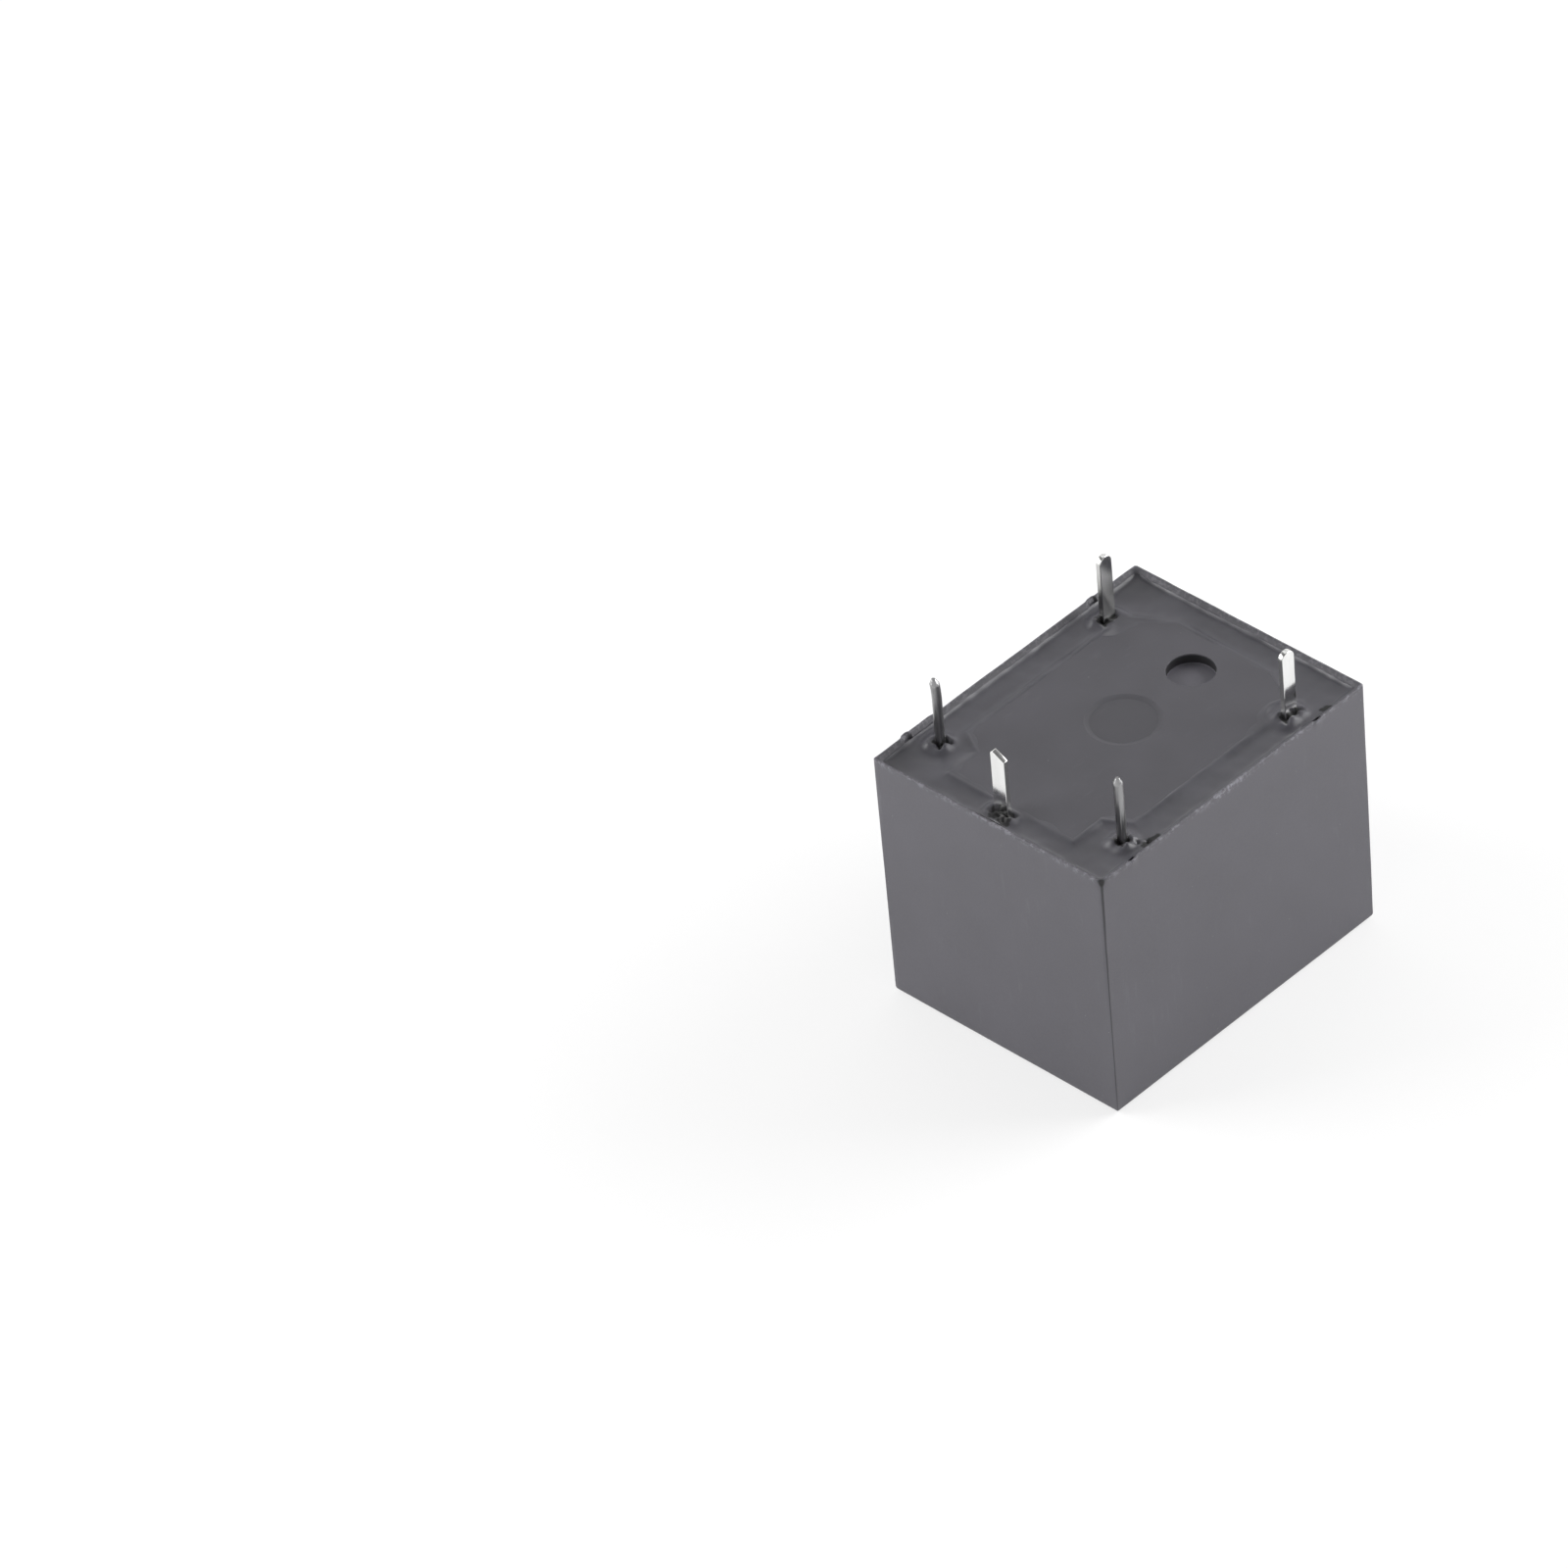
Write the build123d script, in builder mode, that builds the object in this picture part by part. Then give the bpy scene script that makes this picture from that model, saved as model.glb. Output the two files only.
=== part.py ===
from build123d import *
import os
from math import acos, atan2, cos, hypot, radians, sin, tan

os.makedirs("parts", exist_ok=True)

# A sealed power relay for a printed circuit board, in millimetres. It stands on the closed
# face of its cover with its five pins up. The origin is the centre of that face, X runs from
# the common pin's end to the contact end, Y runs across, and Z runs along the pins.

# Cover
case_length = 19.2
case_width = 15.1
case_height = 15.0
case_draft = 0.44
case_corner_radius = 0.22
closed_edge_radius = 0.3
cover_wall = 0.6
cover_floor = 0.6
cavity_corner_radius = 0.4
rim_wall = 0.3
rim_depth = 2.2
mouth_corner_radius = 0.2
rim_notch_width = 0.45
rim_notch_height = 0.3
rim_notch_depth = 0.14
rim_notch_com_inset = 2.3
rim_notch_contact_inset = 3.4

# Base plate, with the raised island that shows on the pin face
base_thickness = 1.1
base_clearance = 0.05
island_depth = 0.3
island_com_margin = 1.75
island_contact_margin = 1.85
island_side_margin = 2.05
island_edge_bevel = 0.1
coil_corner_length = 1.4
coil_corner_width = 1.9
coil_corner_slant = 0.8
contact_corner_start = 0.6
contact_corner_width = 2.9
pin_pocket_radius = 1.25
dimple_diameter = 2.52
dimple_depth = 0.58
dimple_from_contact_pins = 0.4
dimple_y = 0.1
gate_disc_diameter = 3.96
gate_disc_depth = 0.1
gate_disc_slope = 70.0
gate_disc_x = 0.5
gate_disc_y = 0.15
shroud_depth = 7.0
shroud_wall = 0.4
post_inner_wall = 1.0
slot_clearance = 0.05

# Potting compound, whose surface rises in two slopes to the rim and in one to each pin
seal_drop = 0.38
seal_gap = 0.01
rim_bead_width = 0.62
rim_toe_height = 0.08
rim_toe_slope = 72.0
rim_bead_height = 0.25
rim_bead_slope = 48.0
collar_width = 0.5
collar_height = 0.3
collar_slope = 55.0

# Pins
pin_stand = 3.75
com_end_inset = 1.2
coil_pin_step = 2.0
contact_end_inset = 3.8
pin_side_inset = 1.55
terminal_thickness = 0.3
com_blade_width = 0.9
contact_blade_width = 0.85
com_blade_drop = 0.22
com_tip_bevel = 0.15
com_tip_slant = 0.4
coil_pin_diameter = 0.5
coil_pin_square = 0.38
coil_pin_point = 0.3
coil_pin_point_inset = 0.15

# Contacts and their terminals
floor_clearance = 0.06
contact_tail_height = 0.14
contact_tail_diameter = 1.5
contact_head_height = 0.36
contact_head_diameter = 2.0
contact_dome_height = 0.06
contact_shank_diameter = 1.1
contact_gap_at_rest = 0.02
contact_gap_pulled_in = 0.03
terminal_strip_width = 2.8
tongue_overhang = 1.4
tongue_bend_radius = 0.6
pull_in_angle = 2.0

# Magnet
spring_thickness = 0.2
yoke_thickness = 1.2
yoke_width = 9.0
yoke_bend_radius = 0.8
yoke_overhang = 3.6
yoke_boss_diameter = 1.1
yoke_boss_spacing = 2.6
yoke_boss_from_ledge = 4.4
staked_head_diameter = 1.6
staked_head_height = 0.18
core_diameter = 4.4
pole_diameter = 6.6
pole_height = 0.8
core_rivet_diameter = 3.2
core_rivet_head_diameter = 4.2
core_rivet_head_height = 0.3
pole_gap_pulled_in = 0.02

# Armature
armature_thickness = 1.0
armature_hinge_width = 8.4
armature_free_width = 6.4
armature_neck = 2.2
armature_overhang = 0.8
armature_end_step = 0.1
armature_corner_radius = 0.5
armature_boss_diameter = 1.0
armature_boss_spacing = 3.0

# Moving spring
spring_tail_width = 5.0
spring_tail_above_boss = 1.2
spring_arm_width = 4.6
spring_tip_width = 2.6
spring_bulge = 0.4
spring_bend_radius = 0.45
spring_bulge_drop = 0.6
spring_tip_overhang = 1.3
boss_hole_clearance = 0.03

# Common terminal below the base
com_plate_width = 5.2
com_plate_below_boss = 1.2
com_plate_above_boss = 1.4
com_neck_rise = 0.8

# Bobbin and coil
bobbin_gap = 0.2
flange_width = 10.8
flange_thickness = 0.7
flange_corner_radius = 0.8
bobbin_tube_wall = 0.55
core_clearance = 0.05
winding_margin = 0.3
winding_edge_bevel = 0.25
lug_length = 1.6
lug_wall = 0.65
lug_below_flange = 1.0
lug_clearance = 0.25
pin_stub = 0.9
solder_diameter = 1.1
solder_bead_slope = 0.25
solder_bead_neck = 0.1
solder_gap = 0.1
lead_diameter = 0.18

# Faces and levels that follow from the sizes
half_length = case_length / 2
half_width = case_width / 2
mouth_length = case_length - 2 * rim_wall
mouth_width = case_width - 2 * rim_wall
ledge_z = case_height - rim_depth
tip_z = case_height + pin_stand
island_z = case_height - island_depth
plate_z = ledge_z + base_thickness
seal_z = case_height - seal_drop
collar_z = seal_z + collar_height

# Pin places
com_x = com_end_inset - half_length
coil_x = com_x + coil_pin_step
contact_pin_x = half_length - contact_end_inset
pin_y = half_width - pin_side_inset

# Magnet frame, from the common terminal inwards
terminal_inner_x = com_x + terminal_thickness / 2
yoke_back_x = terminal_inner_x + spring_thickness
yoke_inner_x = yoke_back_x + yoke_thickness
strip_near_x = contact_pin_x - contact_blade_width / 2
strip_far_x = strip_near_x + terminal_strip_width
contact_x = (strip_near_x + strip_far_x) / 2
shroud_x = strip_near_x - slot_clearance - shroud_wall
flange_start_x = yoke_inner_x + bobbin_gap
flange_end_x = shroud_x - bobbin_gap
flange_length = flange_end_x - flange_start_x
core_x = (flange_start_x + flange_end_x) / 2

# Contact stack, from the closed end up to the pole face
nc_tongue_z = cover_floor + floor_clearance + contact_tail_height
nc_face_z = nc_tongue_z + terminal_thickness + contact_head_height
hinge_x = yoke_back_x + armature_end_step
contact_arm = contact_x - hinge_x
moving_stack = armature_thickness + spring_thickness + contact_head_height
contact_swing = contact_arm * sin(radians(pull_in_angle))
hinge_z = nc_face_z + contact_gap_at_rest + contact_swing + moving_stack * cos(radians(pull_in_angle))
pole_z = hinge_z + pole_gap_pulled_in
no_face_z = hinge_z - armature_thickness + contact_head_height + contact_gap_pulled_in
no_tongue_z = no_face_z + contact_head_height
coil_start_z = pole_z + pole_height
yoke_leg_z = ledge_z - yoke_thickness
yoke_boss_z = ledge_z - yoke_boss_from_ledge

# The armature at rest hangs open: this plane is its pole side, through the hinge line
rest_tilt = radians(pull_in_angle)
armature_plane = Plane(
    origin=(hinge_x, 0, hinge_z),
    x_dir=(cos(rest_tilt), 0, -sin(rest_tilt)),
    z_dir=(sin(rest_tilt), 0, cos(rest_tilt)),
)
armature_length = core_x + pole_diameter / 2 + armature_overhang - hinge_x
armature_boss_x = core_x - hinge_x

contact_pins = [(contact_pin_x, pin_y), (contact_pin_x, -pin_y)]
coil_pins = [(coil_x, pin_y), (coil_x, -pin_y)]


# Cover: a drafted cup whose mouth is thinned down to a ledge for the base plate
with BuildPart() as cover:
    with BuildSketch(Plane.XY.offset(case_height)):
        RectangleRounded(case_length, case_width, case_corner_radius)
    extrude(amount=-case_height, taper=case_draft)
    fillet(cover.faces().sort_by(Axis.Z)[0].edges(), radius=closed_edge_radius)
    with BuildSketch(Plane.XY.offset(ledge_z)):
        RectangleRounded(case_length - 2 * cover_wall, case_width - 2 * cover_wall, cavity_corner_radius)
    extrude(amount=cover_floor - ledge_z, taper=case_draft, mode=Mode.SUBTRACT)
    with BuildSketch(Plane.XY.offset(case_height)):
        RectangleRounded(mouth_length, mouth_width, mouth_corner_radius)
    extrude(amount=-rim_depth, mode=Mode.SUBTRACT)
    with BuildSketch(Plane.XY.offset(case_height)):
        for notch_x in (rim_notch_com_inset - half_length, half_length - rim_notch_contact_inset):
            for side in (1, -1):
                with Locations((notch_x, side * mouth_width / 2)):
                    Rectangle(rim_notch_width, 2 * rim_notch_depth)
    extrude(amount=-rim_notch_height, mode=Mode.SUBTRACT)
cover.part.label = "cover"
export_step(cover.part, "parts/cover.step")


# Base: plate, raised island with pockets at the pins, and the shroud that holds the contacts
island_start_x = island_com_margin - half_length
island_end_x = half_length - island_contact_margin
island_y = half_width - island_side_margin
coil_corner_x = coil_x + coil_corner_length
coil_corner_y = pin_y - coil_corner_width
contact_corner_x = contact_pin_x + contact_corner_start
contact_corner_y = pin_y - contact_corner_width
post_inner_y = pin_y - terminal_thickness / 2 - post_inner_wall
post_outer_y = pin_y + terminal_thickness / 2 + shroud_wall
post_end_x = strip_far_x + slot_clearance + shroud_wall
slot_thickness = terminal_thickness + 2 * slot_clearance

with BuildSketch(Plane.XY.offset(plate_z)) as island:
    with BuildLine():
        upper = [
            (island_start_x, coil_corner_y),
            (coil_corner_x - coil_corner_slant, coil_corner_y),
            (coil_corner_x, island_y),
            (contact_corner_x, island_y),
            (island_end_x, contact_corner_y),
        ]
        lower = [(x, -y) for x, y in reversed(upper)]
        Polyline(*upper, *lower, close=True)
    make_face()
    with Locations(*contact_pins):
        Circle(pin_pocket_radius, mode=Mode.SUBTRACT)

with BuildPart() as base:
    with BuildSketch(Plane.XY.offset(ledge_z)):
        RectangleRounded(
            mouth_length - 2 * base_clearance,
            mouth_width - 2 * base_clearance,
            mouth_corner_radius,
        )
    extrude(amount=base_thickness)
    extrude(island.sketch, amount=island_z - plate_z)
    chamfer(base.faces().sort_by(Axis.Z)[-1].edges(), length=island_edge_bevel)
    with BuildSketch(Plane.XY.offset(island_z)):
        with Locations((contact_pin_x - dimple_from_contact_pins, dimple_y)):
            Circle(dimple_diameter / 2)
    extrude(amount=-dimple_depth, mode=Mode.SUBTRACT)
    with BuildSketch(Plane.XY.offset(island_z)):
        with Locations((gate_disc_x, gate_disc_y)):
            Circle(gate_disc_diameter / 2)
    extrude(amount=-gate_disc_depth, taper=gate_disc_slope, mode=Mode.SUBTRACT)
    with BuildSketch(Plane.XY.offset(ledge_z)):
        for side in (1, -1):
            with Locations(((shroud_x + post_end_x) / 2, side * (post_inner_y + post_outer_y) / 2)):
                Rectangle(post_end_x - shroud_x, post_outer_y - post_inner_y)
        with Locations((shroud_x + shroud_wall / 2, 0)):
            Rectangle(shroud_wall, 2 * post_inner_y)
    extrude(amount=-shroud_depth)
    with BuildSketch(Plane.XY.offset(ledge_z)):
        for side in (1, -1):
            with Locations((contact_x, side * (pin_y + shroud_wall / 2))):
                Rectangle(terminal_strip_width + 2 * slot_clearance, slot_thickness + shroud_wall)
    extrude(amount=-shroud_depth, mode=Mode.SUBTRACT)
    with BuildSketch(Plane.XY.offset(ledge_z)):
        with Locations(*contact_pins):
            Rectangle(contact_blade_width + 2 * slot_clearance, slot_thickness)
        with Locations((com_x, 0)):
            Rectangle(slot_thickness, com_blade_width + 2 * slot_clearance)
        with Locations(*coil_pins):
            Rectangle(coil_pin_square + 2 * slot_clearance, coil_pin_square + 2 * slot_clearance)
    extrude(amount=island_z - ledge_z, mode=Mode.SUBTRACT)
    with BuildSketch(Plane.XY.offset(ledge_z)):
        with Locations((core_x, 0)):
            Circle(core_rivet_head_diameter / 2 + core_clearance)
    extrude(amount=core_rivet_head_height + core_clearance, mode=Mode.SUBTRACT)
base.part.label = "base"
export_step(base.part, "parts/base.step")


# Potting compound: fills the trough round the island, creeps up the rim and each pin
bead_steps = [(rim_toe_height, rim_toe_slope), (rim_bead_height, rim_bead_slope)]

with BuildPart() as epoxy_seal:
    with BuildSketch(Plane.XY.offset(plate_z)):
        RectangleRounded(mouth_length, mouth_width, mouth_corner_radius)
    extrude(amount=seal_z - plate_z)
    bead_z = seal_z
    bead_inset = rim_bead_width
    for rise, slope in bead_steps:
        with BuildSketch(Plane.XY.offset(bead_z)):
            RectangleRounded(mouth_length, mouth_width, mouth_corner_radius)
        extrude(amount=rise)
        with BuildSketch(Plane.XY.offset(bead_z)):
            Rectangle(mouth_length - 2 * bead_inset, mouth_width - 2 * bead_inset)
        extrude(amount=rise, taper=-slope, mode=Mode.SUBTRACT)
        bead_z = bead_z + rise
        bead_inset = bead_inset - rise * tan(radians(slope))
    with BuildSketch(Plane.XY.offset(seal_z)):
        with Locations(*contact_pins):
            Rectangle(contact_blade_width + 2 * collar_width, terminal_thickness + 2 * collar_width)
        with Locations((com_x, 0)):
            Rectangle(terminal_thickness + 2 * collar_width, com_blade_width + 2 * collar_width)
        with Locations(*coil_pins):
            Circle(coil_pin_diameter / 2 + collar_width)
    extrude(amount=collar_z - seal_z, taper=collar_slope)
    extrude(island.sketch, amount=case_height - plate_z, mode=Mode.SUBTRACT)
    with BuildSketch(Plane.XY.offset(plate_z)):
        with Locations(*contact_pins):
            Rectangle(contact_blade_width + 2 * seal_gap, terminal_thickness + 2 * seal_gap)
        with Locations((com_x, 0)):
            Rectangle(terminal_thickness + 2 * seal_gap, com_blade_width + 2 * seal_gap)
        with Locations(*coil_pins):
            Rectangle(coil_pin_square + 2 * seal_gap, coil_pin_square + 2 * seal_gap)
    extrude(amount=case_height - plate_z, mode=Mode.SUBTRACT)
epoxy_seal.part.label = "epoxy_seal"
export_step(epoxy_seal.part, "parts/epoxy_seal.step")


# Yoke: a bent bracket, with two bosses staked over the spring's tail and the common terminal
boss_reach = spring_thickness + terminal_thickness
back_plane = Plane(origin=(yoke_back_x, 0, yoke_boss_z), x_dir=(0, -1, 0), z_dir=(-1, 0, 0))
boss_places = [(yoke_boss_spacing / 2, 0), (-yoke_boss_spacing / 2, 0)]

with BuildPart() as yoke:
    with BuildSketch(Plane.XZ):
        with BuildLine():
            Polyline(
                (yoke_back_x, pole_z),
                (yoke_back_x, ledge_z),
                (core_x + yoke_overhang, ledge_z),
                (core_x + yoke_overhang, yoke_leg_z),
                (yoke_inner_x, yoke_leg_z),
                (yoke_inner_x, pole_z),
                close=True,
            )
        make_face()
    extrude(amount=yoke_width / 2, both=True)
    bend_edge = yoke.edges().filter_by(Axis.Y).sort_by(Axis.X)[0:2].sort_by(Axis.Z)[-1]
    fillet(bend_edge, radius=yoke_bend_radius)
    with BuildSketch(Plane.XY.offset(ledge_z)):
        with Locations((core_x, 0)):
            Circle(core_rivet_diameter / 2 + core_clearance)
    extrude(amount=-yoke_thickness, mode=Mode.SUBTRACT)
    with BuildSketch(back_plane):
        with Locations(*boss_places):
            Circle(yoke_boss_diameter / 2)
    extrude(amount=boss_reach)
    with BuildSketch(back_plane.offset(boss_reach)):
        with Locations(*boss_places):
            Circle(staked_head_diameter / 2)
    extrude(amount=staked_head_height)
yoke.part.label = "yoke"
export_step(yoke.part, "parts/yoke.step")


# Core: pole head, shank and the end riveted over the yoke
with BuildPart() as core:
    with BuildSketch(Plane.XZ):
        with BuildLine():
            Polyline(
                (core_x, pole_z),
                (core_x + pole_diameter / 2, pole_z),
                (core_x + pole_diameter / 2, coil_start_z),
                (core_x + core_diameter / 2, coil_start_z),
                (core_x + core_diameter / 2, yoke_leg_z),
                (core_x + core_rivet_diameter / 2, yoke_leg_z),
                (core_x + core_rivet_diameter / 2, ledge_z),
                (core_x + core_rivet_head_diameter / 2, ledge_z),
                (core_x + core_rivet_diameter / 2, ledge_z + core_rivet_head_height),
                (core_x, ledge_z + core_rivet_head_height),
                close=True,
            )
        make_face()
    revolve(axis=Axis((core_x, 0, 0), (0, 0, 1)))
core.part.label = "core"
export_step(core.part, "parts/core.step")


# Bobbin: tube between two flanges, with a lug round each coil pin
tube_diameter = core_diameter + 2 * core_clearance + 2 * bobbin_tube_wall
lug_z = yoke_leg_z - flange_thickness - lug_below_flange
lug_inner_y = yoke_width / 2 + lug_clearance
lug_outer_y = pin_y + lug_wall

with BuildPart() as bobbin:
    for flange_z in (coil_start_z, yoke_leg_z - flange_thickness):
        with BuildSketch(Plane.XY.offset(flange_z)):
            with Locations((core_x, 0)):
                RectangleRounded(flange_length, flange_width, flange_corner_radius)
        extrude(amount=flange_thickness)
    with BuildSketch(Plane.XY.offset(coil_start_z)):
        with Locations((core_x, 0)):
            Circle(tube_diameter / 2)
    extrude(amount=yoke_leg_z - coil_start_z)
    with BuildSketch(Plane.XY.offset(lug_z)):
        for side in (1, -1):
            with Locations((coil_x, side * (lug_inner_y + lug_outer_y) / 2)):
                Rectangle(lug_length, lug_outer_y - lug_inner_y)
    extrude(amount=ledge_z - base_clearance - lug_z)
    with BuildSketch(Plane.XY.offset(coil_start_z)):
        with Locations((core_x, 0)):
            Circle(core_diameter / 2 + core_clearance)
    extrude(amount=yoke_leg_z - coil_start_z, mode=Mode.SUBTRACT)
    with BuildSketch(Plane.XY.offset(lug_z)):
        with Locations(*coil_pins):
            Rectangle(coil_pin_square + 2 * slot_clearance, coil_pin_square + 2 * slot_clearance)
    extrude(amount=ledge_z - lug_z, mode=Mode.SUBTRACT)
bobbin.part.label = "bobbin"
export_step(bobbin.part, "parts/bobbin.step")


# Winding: enamelled wire filling the bobbin between its flanges
winding_z = coil_start_z + flange_thickness
winding_length = yoke_leg_z - coil_start_z - 2 * flange_thickness
winding_diameter = min(flange_length, flange_width) - 2 * winding_margin

with BuildPart() as coil_winding:
    with BuildSketch(Plane.XY.offset(winding_z)):
        with Locations((core_x, 0)):
            Circle(winding_diameter / 2)
    extrude(amount=winding_length)
    chamfer(coil_winding.edges(), length=winding_edge_bevel)
    with BuildSketch(Plane.XY.offset(winding_z)):
        with Locations((core_x, 0)):
            Circle(tube_diameter / 2 + core_clearance)
    extrude(amount=winding_length, mode=Mode.SUBTRACT)
coil_winding.part.label = "coil_winding"
export_step(coil_winding.part, "parts/coil_winding.step")


# Coil pins, square where the lug and base grip them and round where they stand free, each
# with the coil's lead and its solder on the stub below the lug
stub_z = lug_z - pin_stub
solder_z = lug_z - solder_gap
solder_length = pin_stub - solder_gap
lead_z = solder_z - solder_length / 2
wrap_radius = winding_diameter / 2 + lead_diameter / 2
pin_distance = hypot(core_x - coil_x, pin_y)

for name, side in (("a", 1), ("b", -1)):
    with BuildPart() as coil_pin:
        with BuildSketch(Plane.XY.offset(stub_z)):
            with Locations((coil_x, side * pin_y)):
                Rectangle(coil_pin_square, coil_pin_square)
        extrude(amount=collar_z - stub_z)
        with BuildSketch(Plane.XY.offset(collar_z)):
            with Locations((coil_x, side * pin_y)):
                Circle(coil_pin_diameter / 2)
        extrude(amount=tip_z - collar_z)
        tip_face = coil_pin.faces().sort_by(Axis.Z)[-1]
        chamfer(tip_face.edges(), length=coil_pin_point_inset, length2=coil_pin_point, reference=tip_face)
    coil_pin.part.label = "coil_pin_" + name
    export_step(coil_pin.part, "parts/coil_pin_" + name + ".step")

    with BuildPart() as coil_solder:
        with BuildSketch(Plane.XZ.offset(-side * pin_y)):
            with BuildLine():
                Polyline(
                    (coil_x, solder_z),
                    (coil_x + coil_pin_diameter / 2 + solder_bead_neck, solder_z),
                    (coil_x + solder_diameter / 2, solder_z - solder_bead_slope),
                    (coil_x + solder_diameter / 2, solder_z - solder_length + solder_bead_slope),
                    (coil_x + coil_pin_diameter / 2 + solder_bead_neck, solder_z - solder_length),
                    (coil_x, solder_z - solder_length),
                    close=True,
                )
            make_face()
        revolve(axis=Axis((coil_x, side * pin_y, 0), (0, 0, 1)))
        with BuildSketch(Plane.XY.offset(stub_z)):
            with Locations((coil_x, side * pin_y)):
                Rectangle(coil_pin_square, coil_pin_square)
        extrude(amount=pin_stub, mode=Mode.SUBTRACT)
    coil_solder.part.label = "coil_solder_" + name
    export_step(coil_solder.part, "parts/coil_solder_" + name + ".step")

    # The lead leaves the winding along its tangent and ends at the solder
    tangent_angle = atan2(pin_y, coil_x - core_x) - acos(wrap_radius / pin_distance)
    lead_start = Vector(core_x + wrap_radius * cos(tangent_angle), side * wrap_radius * sin(tangent_angle), lead_z)
    lead_run = Vector(coil_x, side * pin_y, lead_z) - lead_start
    with BuildPart() as coil_lead:
        with BuildSketch(Plane(origin=lead_start, z_dir=lead_run)):
            Circle(lead_diameter / 2)
        extrude(amount=lead_run.length - solder_diameter / 2)
    coil_lead.part.label = "coil_lead_" + name
    export_step(coil_lead.part, "parts/coil_lead_" + name + ".step")


# Common terminal: a plate staked to the yoke's back, running up into the common pin
com_plate_z = yoke_boss_z - com_plate_below_boss
com_neck_z = yoke_boss_z + com_plate_above_boss
com_tip_z = tip_z - com_blade_drop

with BuildPart() as com_terminal:
    with BuildSketch(Plane.YZ.offset(com_x)):
        with BuildLine():
            Polyline(
                (com_plate_width / 2, com_plate_z),
                (com_plate_width / 2, com_neck_z),
                (com_blade_width / 2, com_neck_z + com_neck_rise),
                (com_blade_width / 2, com_tip_z - com_tip_bevel),
                (com_blade_width / 2 - com_tip_bevel, com_tip_z),
                (-com_blade_width / 2, com_tip_z - com_tip_slant),
                (-com_blade_width / 2, com_neck_z + com_neck_rise),
                (-com_plate_width / 2, com_neck_z),
                (-com_plate_width / 2, com_plate_z),
                close=True,
            )
        make_face()
    extrude(amount=terminal_thickness / 2, both=True)
    with BuildSketch(back_plane):
        with Locations(*boss_places):
            Circle(yoke_boss_diameter / 2 + boss_hole_clearance)
    extrude(amount=boss_reach, mode=Mode.SUBTRACT)
com_terminal.part.label = "com_terminal"
export_step(com_terminal.part, "parts/com_terminal.step")


# Contact terminals: a strip in the shroud's slot, its blade up through the base and its
# tongue bent in under or over the moving contact
tip_start_z = tip_z - contact_blade_width / 2

for name, side, tongue_z in (("no", 1, no_tongue_z), ("nc", -1, nc_tongue_z)):
    strip_y = side * (pin_y - terminal_thickness / 2)
    outer_y = side * (pin_y + terminal_thickness / 2)
    tongue_end_y = -side * tongue_overhang
    with BuildPart() as terminal:
        with BuildSketch(Plane.XZ.offset(-side * pin_y)):
            with BuildLine():
                Polyline(
                    (strip_near_x + contact_blade_width, tip_start_z),
                    (strip_near_x + contact_blade_width, ledge_z),
                    (strip_far_x, ledge_z),
                    (strip_far_x, tongue_z),
                    (strip_near_x, tongue_z),
                    (strip_near_x, tip_start_z),
                )
                ThreePointArc(
                    (strip_near_x, tip_start_z),
                    (contact_pin_x, tip_z),
                    (strip_near_x + contact_blade_width, tip_start_z),
                )
            make_face()
        extrude(amount=terminal_thickness / 2, both=True)
        with BuildSketch(Plane.XY.offset(tongue_z)):
            with Locations((contact_x, (outer_y + tongue_end_y) / 2)):
                Rectangle(terminal_strip_width, abs(outer_y - tongue_end_y))
        extrude(amount=terminal_thickness)
        bend = terminal.edges().filter_by(Axis.X).sort_by(Axis.Z).group_by(Axis.Z)[0]
        fillet(bend.sort_by(Axis.Y)[-1 if side > 0 else 0], radius=tongue_bend_radius)
        with BuildSketch(Plane.XY.offset(tongue_z)):
            with Locations((contact_x, 0)):
                Circle(contact_shank_diameter / 2 + boss_hole_clearance)
        extrude(amount=terminal_thickness, mode=Mode.SUBTRACT)
    terminal.part.label = name + "_terminal"
    export_step(terminal.part, "parts/" + name + "_terminal.step")


# Fixed contacts: rivets through the tongues, their heads towards the moving contact
contact_axis = Axis((contact_x, 0, 0), (0, 0, 1))

for name, face_z, tongue_z, rise in (
    ("nc", nc_face_z, nc_tongue_z, 1),
    ("no", no_face_z, no_tongue_z + terminal_thickness, -1),
):
    head_z = face_z - rise * contact_head_height
    with BuildPart() as contact:
        with BuildSketch(Plane.XZ):
            with BuildLine():
                Polyline(
                    (contact_x, face_z),
                    (contact_x + contact_head_diameter / 2, face_z),
                    (contact_x + contact_head_diameter / 2, head_z),
                    (contact_x + contact_shank_diameter / 2, head_z),
                    (contact_x + contact_shank_diameter / 2, tongue_z),
                    (contact_x + contact_tail_diameter / 2, tongue_z),
                    (contact_x + contact_tail_diameter / 2, tongue_z - rise * contact_tail_height),
                    (contact_x, tongue_z - rise * contact_tail_height),
                    close=True,
                )
            make_face()
        revolve(axis=contact_axis)
    contact.part.label = name + "_contact"
    export_step(contact.part, "parts/" + name + "_contact.step")


# Armature: a tapered plate, with two bosses staked over the moving spring
armature_bosses = [
    (armature_boss_x, armature_boss_spacing / 2),
    (armature_boss_x, -armature_boss_spacing / 2),
]

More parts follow.
